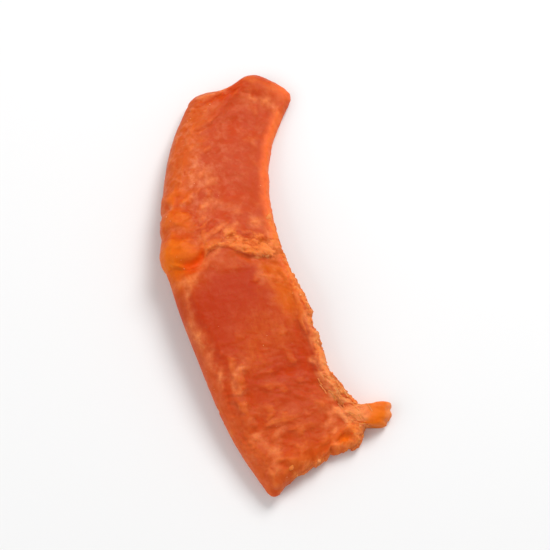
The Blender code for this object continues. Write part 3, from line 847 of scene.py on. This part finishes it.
def slice_mesh(form):
    """The closed mesh of the slice, with its finishes as attributes and its shares as a UV map."""
    u, v, upper, lower, relief = slice_skins(form)
    inside = np.zeros(u.shape, bool)
    inside[1:-1, 1:-1] = True
    top_index = np.arange(u.size).reshape(u.shape)
    under_index = top_index.copy()
    under_index[inside] = u.size + np.arange(inside.sum())
    points = stand_in_frame(np.concatenate([upper.reshape(-1, 3), lower[inside]]))
    mesh = bpy.data.meshes.new("papaya_flesh")
    mesh.from_pydata(points, [], np.concatenate([cells(top_index), cells(under_index)[:, ::-1]]))
    shown = {**upper_masks(form, u, v, relief), "along": u * LENGTH, "across": v * WIDTH}
    hidden = lower_masks(form.seed, u, v)
    inset = ease(0.0, RIM_ACROSS, np.minimum(v, 1 - v)) * ease(0.0, RIM_ALONG, np.minimum(u, 1 - u))
    for name, grid in shown.items():
        own = hidden.get(name, grid)
        under = own if name in SCATTERED else grid + inset * (own - grid)
        values = np.concatenate([grid.ravel(), under[inside]])
        mesh.attributes.new(name, "FLOAT", "POINT").data.foreach_set("value", values.astype(np.float32))
    upper_map, under_map = (np.stack([side, u], axis=-1).reshape(-1, 2) for side in (v / 2, 1 - v / 2))
    corners = cells(top_index)
    shares = np.concatenate([upper_map[corners], under_map[corners[:, ::-1]]])
    mesh.uv_layers.new(name="shares").uv.foreach_set("vector", shares.ravel().astype(np.float32))
    mesh.validate()
    return mesh


# ---- Nodes as expressions -------------------------------------------------------------------------------

class Wire:
    """A node's output, with which node maths is written as a Python expression."""

    def __init__(self, tree, socket):
        self.tree = tree
        self.socket = socket

    def also(self, name):
        """Another output of the same node."""
        return Wire(self.tree, self.tree.pick(self.socket.node.outputs, name))

    def maths(self, operation, *others):
        """This value and others through one Math node, or one Vector Math node if this is a vector."""
        kind = "ShaderNodeVectorMath" if self.socket.type == "VECTOR" else "ShaderNodeMath"
        return self.tree.add(kind, {"operation": operation}, {i: x for i, x in enumerate((self, *others))})

    def __add__(self, other):
        return self.maths("ADD", other)

    __radd__ = __add__

    def __sub__(self, other):
        return self.maths("SUBTRACT", other)

    def __rsub__(self, other):
        return self.tree.add("ShaderNodeMath", {"operation": "SUBTRACT"}, {0: other, 1: self})

    def __mul__(self, other):
        if self.socket.type == "VECTOR" and isinstance(other, (int, float)):
            return self.scaled(other)
        return self.maths("MULTIPLY", other)

    __rmul__ = __mul__

    def scaled(self, factor):
        """This vector times a value, which may be a wire."""
        return self.tree.add("ShaderNodeVectorMath", {"operation": "SCALE"}, {0: self, "Scale": factor})

    def __pow__(self, other):
        return self.maths("POWER", other)

    def __abs__(self):
        return self.maths("ABSOLUTE")

    def ramp(self, start, end):
        """0 at start and 1 at end of this value, with a smooth rise between."""
        return self.tree.add("ShaderNodeMapRange", {"interpolation_type": "SMOOTHSTEP"},
                             {"Value": self, "From Min": start, "From Max": end})


class Tree:
    """A node tree that is built from Python expressions."""

    def __init__(self, nodes, links):
        self.nodes = nodes
        self.links = links

    def add(self, kind, settings=None, inputs=None, out=0):
        """Adds a node: its settings are set first, then the values or links of its input sockets."""
        node = self.nodes.new(kind)
        for name, value in (settings or {}).items():
            setattr(node, name, value)
        for name, value in (inputs or {}).items():
            socket = self.pick(node.inputs, name)
            if isinstance(value, Wire):
                self.links.new(value.socket, socket)
            else:
                socket.default_value = value
        outputs = [s for s in node.outputs if s.enabled]
        return Wire(self, self.pick(node.outputs, out)) if outputs else node

    def object_place(self):
        """The place on the object, in millimetres."""
        return self.add("ShaderNodeTexCoord", out="Object") * IN_MM

    @staticmethod
    def pick(sockets, name):
        """The shown socket of that name, or the one at that place among them."""
        shown = [s for s in sockets if s.enabled]
        if isinstance(name, int):
            return shown[name]
        return next(s for s in shown if s.name == name)

    def mix(self, share, a, b):
        """The colour a, turning to b as share goes to 1."""
        solid = {k: (*x, 1.0) if isinstance(x, tuple) else x for k, x in (("A", a), ("B", b))}
        return self.add("ShaderNodeMix", {"data_type": "RGBA"}, {"Factor": share, **solid})

    def mask(self, name):
        """A point attribute as a value from 0 to 1."""
        return self.add("ShaderNodeAttribute", {"attribute_name": name}, out="Fac")

    def cloud(self, place, scale, detail=3.0, roughness=0.55, twist=0.0):
        """Noise from 0 to 1 with features of about 1 / scale."""
        return self.add("ShaderNodeTexNoise", {"noise_dimensions": "3D"},
                        {"Vector": place, "Scale": scale, "Detail": detail, "Roughness": roughness,
                         "Distortion": twist})


def new_material(name):
    """An empty Principled material, with the tree that it is built in."""
    material = bpy.data.materials.new(name)
    material.use_nodes = True
    nodes = material.node_tree.nodes
    return material, Tree(nodes, material.node_tree.links), nodes["Principled BSDF"]


def finish_shader(tree, shader, plain, linked):
    """Sets what is the same all over on the shader's own sockets, and links what varies."""
    for name, value in plain.items():
        shader.inputs[name].default_value = value
    for name, wire in linked.items():
        tree.links.new(wire.socket, shader.inputs[name])


# ---- Materials ------------------------------------------------------------------------------------------

def flesh_material(colours):
    """Translucent fruit flesh: pale above the crack, red below it, with a yellow crust and bright edges, and
    painted shade and highlights over its relief.
    """
    material, tree, shader = new_material("papaya_flesh")
    place = tree.object_place()
    stretched = tree.add("ShaderNodeCombineXYZ", None, {
        "X": tree.mask("across") * IN_MM, "Y": tree.mask("along") * STREAK_IN_MM, "Z": 0.0})
    cloud = tree.cloud(place, 0.18, 4.0)
    mottle = tree.cloud(place, 0.62, 4.0, 0.62)
    speckle = tree.cloud(place, 2.1, 3.0, 0.6)
    streak = tree.cloud(stretched, 0.9, 4.0, 0.6, 0.6)
    raised = tree.mask("raised")
    crust = tree.mask("crust")
    ragged_crust = (crust + (mottle + speckle * 0.6 - 0.8) * 1.3 * crust).ramp(0.20, 0.85)

    # The crust darkens at random, and a little more on its low parts as painted shade.
    crumbly = tree.mix((speckle * 0.5 + mottle * 0.5 + raised * 0.20).ramp(0.38, 0.60),
                       colours["crust_dark"], colours["crust"])
    sunk = raised * -1.0
    blotch = tree.cloud(place, 0.42, 2.0, 0.5)
    # A whitish frost of sugar bloom that is also painted sheen.
    frost = (speckle * 0.16 + mottle * 0.50 + blotch * 0.60).ramp(0.54, 0.90)
    dusty = 0.08 + tree.mask("bloom") * 0.22 + tree.mask("peel") * 0.25
    layers = (
        (tree.mask("warm") * (mottle + streak - 0.4), colours["peel"]),
        (tree.mask("peel") * (0.35 + streak), colours["peel"]),
        (tree.mask("glow") * (0.5 + mottle * 0.8), colours["glow"]),
        (tree.mask("rim") * (0.6 + mottle * 0.8), colours["rim"]),
        (ragged_crust * 0.9, crumbly),
        # Painted shade between the crumbly folds.
        (sunk.ramp(0.0, 0.70) * ragged_crust * 0.8, colours["hollow"]),
        (tree.mask("net") * crust * (0.1 + mottle * 0.6), colours["cream"]),
        # Painted shade in hollows.
        (tree.mask("shade"), colours["crease"]),
        # Painted highlight on the raised relief.
        (raised.ramp(0.10, 1.0) * (0.05 + mottle * 0.5), colours["crust"]),
        # Painted shade in the sunk relief.
        (sunk.ramp(0.15, 1.0) * 0.50 * (1.0 - ragged_crust * 0.7), colours["crease"]),
        # Frost: sugar bloom and painted sheen.
        (frost * dusty * (1.0 - tree.mask("glow") * 0.9), colours["bloom"]),
        (tree.mask("tab") * (0.5 + mottle * 0.8), colours["tab"]),
        # Painted shade in the pocket.
        (tree.mask("ember") * (0.4 + mottle), colours["ember"]),
        # Pale lines and strands, partly painted highlights on ridges and on the tab.
        (tree.mask("pale") * (mottle * 0.9 + speckle * 0.6), colours["cream"]),
        ((1.0 - (mottle * 0.7 + streak * 0.4)).ramp(0.40, 0.70) * 0.22, colours["crease"]),
    )
    # Pale above the crack and deep red below it: partly the flesh's own colours, partly painted sheen and
    # painted shade.
    base = tree.mix(tree.mask("deep") + (cloud - 0.5) * 0.6, colours["pale"], colours["deep"])
    for share, tint in layers:
        base = tree.mix(share, base, tint)

    grainy = tree.cloud(place, 3.2, 4.0, 0.65)
    pores = tree.cloud(place, 7.0, 3.0, 0.7)
    grit = tree.cloud(place, 1.5, 3.0, 0.7) * ragged_crust
    skin = mottle * 0.60 + grainy * 0.20 + streak * 0.25 + pores * 0.07 + grit * 1.3
    bump = tree.add("ShaderNodeBump", None, {"Strength": 0.65, "Distance": 0.34 * MM, "Height": skin})
    rough = 0.34 + mottle * 0.20 + ragged_crust * 0.18
    finish_shader(tree, shader,
                  {"Subsurface Weight": 0.45, "Subsurface Radius": (1.0, 0.26, 0.09),
                   "Subsurface Scale": 2.0 * MM, "IOR": 1.45, "Specular IOR Level": 0.10},
                  {"Base Color": base, "Roughness": rough, "Normal": bump})
    return material


def crumb_material(name, dark, light):
    """Loose crumbs or fibres, between two colours and a little translucent."""
    material, tree, shader = new_material(name)
    place = tree.object_place()
    tone = tree.cloud(place, 0.9, 3.0)
    base = tree.mix(tone.ramp(0.3, 0.7), dark, light)
    bump = tree.add("ShaderNodeBump", None, {"Strength": 0.4, "Distance": 0.1 * MM,
                                             "Height": tree.cloud(place, 4.0, 2.0)})
    finish_shader(tree, shader,
                  {"Subsurface Weight": 0.5, "Subsurface Radius": (1.0, 0.3, 0.1),
                   "Subsurface Scale": 1.0 * MM, "Specular IOR Level": 0.15},
                  {"Base Color": base, "Roughness": 0.40 + tone * 0.2, "Normal": bump})
    return material


def sugar_material(colours):
    """Grains of sugar that take the colour of the flesh under them."""
    material, tree, shader = new_material("papaya_sugar")
    place = tree.object_place()
    tone = tree.cloud(place, 0.35, 2.0)
    base = tree.mix(tone.ramp(0.35, 0.65), colours["bloom"], colours["sugar"])
    finish_shader(tree, shader,
                  {"Subsurface Weight": 0.5, "Subsurface Radius": (1.0, 0.6, 0.4),
                   "Subsurface Scale": 0.5 * MM},
                  {"Base Color": base, "Roughness": 0.25 + tone * 0.2})
    return material


def floor_material(shade):
    """A plain pale matt floor with the faintest unevenness."""
    material, tree, shader = new_material("studio_floor")
    tone = tree.cloud(tree.add("ShaderNodeTexCoord", out="Object"), 6.0, 2.0)
    base = tree.mix(tone * 0.02, tuple(shade), (1.0, 1.0, 1.0))
    finish_shader(tree, shader, {"Roughness": 0.85, "Specular IOR Level": 0.15}, {"Base Color": base})
    return material


# ---- Geometry node trees --------------------------------------------------------------------------------

class Recipe(Tree):
    """A Geometry Nodes tree with named inputs, and the modifier that runs it."""

    def __init__(self, name, inputs):
        self.group = bpy.data.node_groups.new(name, "GeometryNodeTree")
        self.values = inputs
        sides = self.group.interface
        sides.new_socket("Geometry", in_out="INPUT", socket_type="NodeSocketGeometry")
        for label, value in inputs.items():
            kind = "NodeSocketInt" if isinstance(value, int) else "NodeSocketFloat"
            sides.new_socket(label, in_out="INPUT", socket_type=kind).default_value = value
        sides.new_socket("Geometry", in_out="OUTPUT", socket_type="NodeSocketGeometry")
        super().__init__(self.group.nodes, self.group.links)
        self.entry = self.nodes.new("NodeGroupInput")

    def given(self, name):
        """The wire of one of the tree's own inputs."""
        return Wire(self, self.entry.outputs[name])

    def mask(self, name):
        """A named attribute as a value."""
        return self.add("GeometryNodeInputNamedAttribute", {"data_type": "FLOAT"}, {"Name": name})

    def place(self):
        """Where each point is, in millimetres."""
        return self.add("GeometryNodeInputPosition") * IN_MM

    def move(self, geometry, offset):
        """The geometry with each point moved by offset."""
        return self.add("GeometryNodeSetPosition", None, {"Geometry": geometry, "Offset": offset})

    def shaken(self, geometry, scale, detail, reach):
        """The geometry with each point moved at random, smoothly, by up to half of reach along each axis."""
        wave = self.add("ShaderNodeTexNoise", None,
                        {"Vector": self.place(), "Scale": scale, "Detail": detail}, out="Color")
        offset = self.add("ShaderNodeVectorMath", {"operation": "SUBTRACT"}, {0: wave, 1: (0.5, 0.5, 0.5)})
        return self.move(geometry, offset.scaled(reach))

    def random(self, low, high, draw):
        """A random number or vector for each point. Each draw from the same seed has its own number."""
        kind = "FLOAT_VECTOR" if isinstance(low, tuple) else "FLOAT"
        return self.add("FunctionNodeRandomValue", {"data_type": kind},
                        {"Min": low, "Max": high, "Seed": self.given("Seed") + draw})

    def scattered(self, mask):
        """Random points on the given surface, close together where the mask is high."""
        density = self.mask(mask) * self.given("Number per square metre")
        return self.add("GeometryNodeDistributePointsOnFaces", {"distribute_method": "RANDOM"},
                        {"Mesh": self.given("Geometry"), "Density": density, "Seed": self.given("Seed")})

    def spread_on(self, points, piece, turn, size):
        """A real copy of the piece on each point, turned and sized."""
        placed = self.add("GeometryNodeInstanceOnPoints", None,
                          {"Points": points, "Instance": piece, "Rotation": turn, "Scale": size})
        return self.add("GeometryNodeRealizeInstances", None, {"Geometry": placed})

    def close(self, geometry, material):
        """Ends the tree: instances become real, the shading smooth and the material set."""
        real = self.add("GeometryNodeRealizeInstances", None, {"Geometry": geometry})
        smooth = self.add("GeometryNodeSetShadeSmooth", None, {"Geometry": real})
        painted = self.add("GeometryNodeSetMaterial", None, {"Geometry": smooth, "Material": material})
        exit_node = self.nodes.new("NodeGroupOutput")
        self.links.new(painted.socket, exit_node.inputs["Geometry"])

    def cook(self, mesh, name):
        """Runs the tree on a mesh and returns the result as a plain object of that name."""
        holder = bpy.data.objects.new(name + "_source", mesh)
        bpy.context.scene.collection.objects.link(holder)
        modifier = holder.modifiers.new(self.group.name, "NODES")
        modifier.node_group = self.group
        for item in self.group.interface.items_tree:
            if item.in_out == "INPUT" and item.name in self.values:
                modifier[item.identifier] = self.values[item.name]
        bpy.context.view_layer.update()
        depsgraph = bpy.context.evaluated_depsgraph_get()
        result = bpy.data.meshes.new_from_object(holder.evaluated_get(depsgraph), depsgraph=depsgraph)
        holder.modifiers.remove(modifier)
        bpy.data.objects.remove(holder)
        result.name = name
        made = bpy.data.objects.new(name, result)
        bpy.context.scene.collection.objects.link(made)
        return made


# The skin stays smooth below this height, where the slice stands on the floor.
SMOOTH_FOOT = 1.2 * MM
# The share to the power of this gives few large grains and many small ones.
FEW_LARGE = 2.5
# A grain of size 1 is pressed into the surface and flattened.
SUNK_AND_FLAT = {"Translation": (0, 0, -0.08), "Scale": (1.0, 1.0, 0.6)}
SUGAR_GRAIN = ("GeometryNodeMeshCube", None, {"Size": (0.8, 0.8, 0.8), "Vertices X": 3, "Vertices Y": 3,
                                              "Vertices Z": 2})
CRUMB_GRAIN = ("GeometryNodeMeshUVSphere", None, {"Radius": 0.5, "Segments": 8, "Rings": 5})
# The turns about +Z between which the fibres lie, the number of points and of sides of one, and how far
# a fibre strays from a straight line.
FIBRE_TURNS = ((0.0, 0.0, math.radians(30)), (0.0, 0.0, math.radians(47)))
FIBRE_POINTS = 8
FIBRE_SIDES = 5
FIBRE_WAVE = 0.9 * MM


def skin_recipe(form, material):
    """The dried skin: puffy wrinkles with sharp creases, rough crust and small pits."""
    tree = Recipe("dried skin", {"Wrinkle height": form.wrinkles, "Crust height": form.crust,
                                 "Pit depth": form.pits, "Seed": form.seed})
    shift = tree.add("ShaderNodeCombineXYZ", None, {"X": tree.given("Seed") * 13.7, "Y": 0.0, "Z": 0.0})
    place = tree.place() + shift
    squeezed = place.maths("MULTIPLY", (0.55, 1.25, 1.0))
    puffs = abs(tree.cloud(squeezed, 0.34, 3.0, 0.5, 0.4) * 2.0 - 1.0) ** 0.75
    wrinkles = (puffs - 0.22) * tree.given("Wrinkle height") * tree.mask("wrinkle") * 1.9
    rubble = tree.cloud(place, 0.80, 4.0, 0.62) - 0.5
    crust = rubble * tree.given("Crust height") * tree.mask("crust") * 2.0
    dimples = tree.add("ShaderNodeTexVoronoi", {"feature": "F1"}, {"Vector": place, "Scale": 0.42})
    pits = (1.0 - dimples.ramp(0.05, 0.42)) * tree.cloud(place, 0.2, 1.0).ramp(0.48, 0.62)
    net = 1.0 - abs(tree.cloud(place, 0.50, 3.0, 0.5, 1.0) * 2.0 - 1.0).ramp(0.02, 0.24)
    crust = crust + net * tree.given("Crust height") * tree.mask("crust") * 0.6
    height = wrinkles + crust - pits * tree.given("Pit depth") * tree.mask("pits")
    above = tree.add("ShaderNodeSeparateXYZ", None,
                     {"Vector": tree.add("GeometryNodeInputPosition")}, out="Z")
    offset = tree.add("GeometryNodeInputNormal").scaled(height * above.ramp(0.0, SMOOTH_FOOT))
    moved = tree.move(tree.given("Geometry"), offset)
    kept = tree.add("GeometryNodeStoreNamedAttribute", {"data_type": "FLOAT", "domain": "POINT"},
                    {"Geometry": moved, "Name": "net", "Value": net})
    tree.close(kept, material)
    return tree


def scatter_recipe(mask, sizes, grain, material):
    """Grains that lie on a mesh where the mask is high, partly sunk in: grain is one of size 1."""
    tree = Recipe(mask, sizes)
    points = tree.scattered(mask)
    spin = tree.add("FunctionNodeAxisAngleToRotation", None,
                    {"Axis": (0, 0, 1), "Angle": tree.random(0.0, math.tau, 1)})
    turn = tree.add("FunctionNodeRotateRotation", {"rotation_space": "LOCAL"},
                    {"Rotation": points.also("Rotation"), "Rotate By": spin})
    smallest, largest = tree.given("Smallest"), tree.given("Largest")
    size = smallest + (largest - smallest) * tree.random(0.0, 1.0, 2) ** FEW_LARGE
    squash = tree.random((0.7, 0.6, 0.7), (1.5, 1.1, 1.2), 3)
    sunk = tree.add("GeometryNodeTransform", None, {"Geometry": tree.add(*grain), **SUNK_AND_FLAT})
    real = tree.spread_on(points, sunk, turn, squash.scaled(size))
    tree.close(tree.shaken(real, 1.3, 2.0, largest * 0.7), material)
    return tree


def fibre_recipe(form, material):
    """Torn fibres that lie along the crust: short wavy strands pressed on to the surface."""
    tree = Recipe("torn fibres", {"Number per square metre": form.fibres, "Thickness": form.fibre,
                                  "Longest": form.fibre_length, "Seed": form.seed})
    strand = tree.add("GeometryNodeCurvePrimitiveLine", None, {"Start": (0, -0.5, 0), "End": (0, 0.5, 0)})
    strand = tree.add("GeometryNodeResampleCurve", None, {"Curve": strand, "Count": FIBRE_POINTS})
    turn = tree.random(*FIBRE_TURNS, 1)
    size = tree.random(0.35, 1.0, 2) * tree.given("Longest")
    real = tree.spread_on(tree.scattered("fibre"), strand, turn, size)
    wavy = tree.shaken(real, 0.5, 1.0, FIBRE_WAVE)
    nearest = tree.add("GeometryNodeProximity", {"target_element": "FACES"},
                       {"Geometry": tree.given("Geometry")}, out="Position")
    pressed = tree.add("GeometryNodeSetPosition", None, {"Geometry": wavy, "Position": nearest})
    outline = tree.add("GeometryNodeCurvePrimitiveCircle", None,
                       {"Resolution": FIBRE_SIDES, "Radius": tree.given("Thickness") * 0.5})
    tapered = (tree.add("GeometryNodeSplineParameter", out="Factor") * math.pi).maths("SINE")
    tapered = tree.add("GeometryNodeSetCurveRadius", None, {"Curve": pressed, "Radius": 0.10 + 0.9 * tapered})
    tube = tree.add("GeometryNodeCurveToMesh", None,
                    {"Curve": tapered, "Profile Curve": outline, "Fill Caps": True})
    tree.close(tube, material)
    return tree


# ---- Pieces ---------------------------------------------------------------------------------------------

def colour_values(colours):
    """The colours as tuples, by name."""
    return {name: tuple(getattr(colours, name)) for name in colours.__annotations__}


def hand_to_frame(piece, replaced=None):
    """Ties a finished piece to the frame's body, and hides the plain part that it replaces, if there is one.
    """
    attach(piece, BODY)
    if replaced:
        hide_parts(replaced)


class PAPAYA_OT_flesh(bpy.types.Operator):
    """Makes the slice's flesh in place of the plain solid"""
    bl_idname = "papaya.flesh"
    bl_label = "Flesh"

    def execute(self, context):
        form = context.scene.papaya_form
        material = flesh_material(colour_values(context.scene.papaya_colours))
        flesh = skin_recipe(form, material).cook(slice_mesh(form), "papaya_flesh")
        hand_to_frame(flesh, NODE)
        return {"FINISHED"}


def lay_on_flesh(recipe, name):
    """Runs a recipe over the finished flesh, and ties the piece that it makes to the frame."""
    flesh = bpy.data.objects["papaya_flesh"]
    hand_to_frame(recipe.cook(flesh.data.copy(), name))


class PAPAYA_OT_crumbs(bpy.types.Operator):
    """Scatters crumbs of crust along the crack and the torn edges"""
    bl_idname = "papaya.crumbs"
    bl_label = "Crumbs"

    def execute(self, context):
        form = context.scene.papaya_form
        colours = colour_values(context.scene.papaya_colours)
        material = crumb_material("papaya_crumbs", colours["crust"], colours["cream"])
        sizes = {"Number per square metre": form.crumbs, "Smallest": form.small_crumb,
                 "Largest": form.crumb, "Seed": form.seed + 100}
        lay_on_flesh(scatter_recipe("crumbs", sizes, CRUMB_GRAIN, material), "crust_crumbs")
        return {"FINISHED"}


class PAPAYA_OT_fibres(bpy.types.Operator):
    """Lays torn fibres along the crust of the inner edge"""
    bl_idname = "papaya.fibres"
    bl_label = "Fibres"

    def execute(self, context):
        colours = colour_values(context.scene.papaya_colours)
        material = crumb_material("papaya_fibres", colours["crust"], colours["cream"])
        lay_on_flesh(fibre_recipe(context.scene.papaya_form, material), "torn_fibres")
        return {"FINISHED"}


class PAPAYA_OT_sugar(bpy.types.Operator):
    """Scatters grains of sugar over the shown face"""
    bl_idname = "papaya.sugar"
    bl_label = "Sugar"

    def execute(self, context):
        form = context.scene.papaya_form
        material = sugar_material(colour_values(context.scene.papaya_colours))
        sizes = {"Number per square metre": form.grains, "Smallest": form.small_grain,
                 "Largest": form.grain, "Seed": form.seed + 200}
        lay_on_flesh(scatter_recipe("sugar", sizes, SUGAR_GRAIN, material), "sugar_grains")
        return {"FINISHED"}


# ---- The studio -----------------------------------------------------------------------------------------

# Where the lights hang from the middle of the slice, how wide they are, and half the floor's width.
KEY_PLACE = Vector((0.22, 0.34, 0.52))
KEY_SIZE = 0.30
FILL_PLACE = Vector((-0.45, -0.20, 0.40))
FILL_SIZE = 0.50
FLOOR_REACH = 3.0


def soft_light(name, place, target, size, power):
    """A square area light at place that faces target."""
    lamp = bpy.data.lights.new(name, "AREA")
    lamp.size = size
    lamp.energy = power
    light = bpy.data.objects.new(name, lamp)
    light.location = place
    light.rotation_euler = (target - place).to_track_quat("-Z", "Y").to_euler()
    bpy.context.scene.collection.objects.link(light)


def studio_camera(studio, target, height):
    """A camera that looks down on target and sees a view of that height."""
    lens = bpy.data.cameras.new("camera")
    lens.lens = studio.lens
    lens.clip_start = 0.01
    away = height * lens.lens / lens.sensor_width
    back = Vector((0.0, -math.cos(studio.elevation), math.sin(studio.elevation)))
    camera = bpy.data.objects.new("camera", lens)
    camera.location = target + back * away
    camera.rotation_euler = (-back).to_track_quat("-Z", "Y").to_euler()
    bpy.context.scene.collection.objects.link(camera)
    bpy.context.scene.camera = camera


def pale_floor(studio, place):
    """A wide plain floor with its middle at place."""
    form = bmesh.new()
    bmesh.ops.create_grid(form, x_segments=1, y_segments=1, size=FLOOR_REACH,
                          matrix=Matrix.Translation(place))
    mesh = bpy.data.meshes.new("floor")
    form.to_mesh(mesh)
    form.free()
    mesh.materials.append(floor_material(studio.floor))
    floor = bpy.data.objects.new("floor", mesh)
    bpy.context.scene.collection.objects.link(floor)


def surroundings(strength):
    """An even white light from all round."""
    world = bpy.data.worlds.new("surroundings")
    world.use_nodes = True
    backdrop = world.node_tree.nodes["Background"]
    backdrop.inputs["Color"].default_value = (1.0, 1.0, 1.0, 1.0)
    backdrop.inputs["Strength"].default_value = strength
    return world


class PAPAYA_OT_studio(bpy.types.Operator):
    """Sets a pale floor, soft lights and the camera round the spear"""
    bl_idname = "papaya.studio"
    bl_label = "Studio"

    def execute(self, context):
        studio = context.scene.papaya_studio
        low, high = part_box(NODE)
        middle = (low + high) / 2
        size = high - low
        pale_floor(studio, Vector((middle.x, middle.y, low.z)))
        soft_light("key", middle + KEY_PLACE, middle, KEY_SIZE, studio.key)
        soft_light("fill", middle + FILL_PLACE, middle, FILL_SIZE, studio.fill)
        context.scene.world = surroundings(studio.sky)
        context.scene.view_settings.view_transform = "Standard"
        seen = size.y * math.sin(studio.elevation) + size.z * math.cos(studio.elevation)
        studio_camera(studio, middle, seen / studio.share)
        return {"FINISHED"}


# ---- The add-on -----------------------------------------------------------------------------------------

class PAPAYA_PT_panel(bpy.types.Panel):
    """Lists what makes the spear, and its sizes and colours"""
    bl_idname = "PAPAYA_PT_panel"
    bl_label = "Dried papaya spear"
    bl_space_type = "VIEW_3D"
    bl_region_type = "UI"
    bl_category = "Papaya"

    def draw(self, context):
        for operator in OPERATORS:
            self.layout.operator(operator.bl_idname)
        for name in GROUPS:
            settings = getattr(context.scene, name)
            box = self.layout.box()
            for key in settings.__annotations__:
                box.prop(settings, key)


OPERATORS = (PAPAYA_OT_flesh, PAPAYA_OT_crumbs, PAPAYA_OT_fibres, PAPAYA_OT_sugar, PAPAYA_OT_studio)
GROUPS = {"papaya_form": PapayaForm, "papaya_colours": PapayaColours, "papaya_studio": PapayaStudio}
CLASSES = (*GROUPS.values(), *OPERATORS, PAPAYA_PT_panel)


def register():
    """Makes the operators, the settings and the panel known to Blender."""
    for cls in CLASSES:
        bpy.utils.register_class(cls)
    for name, group in GROUPS.items():
        setattr(bpy.types.Scene, name, bpy.props.PointerProperty(type=group))


def unregister():
    """Takes them away again."""
    for name in GROUPS:
        delattr(bpy.types.Scene, name)
    for cls in reversed(CLASSES):
        bpy.utils.unregister_class(cls)


def main():
    """Makes the spear and its studio."""
    register()
    bpy.ops.papaya.flesh()
    bpy.ops.papaya.crumbs()
    bpy.ops.papaya.fibres()
    bpy.ops.papaya.sugar()
    bpy.ops.papaya.studio()


if __name__ == "__main__":
    main()
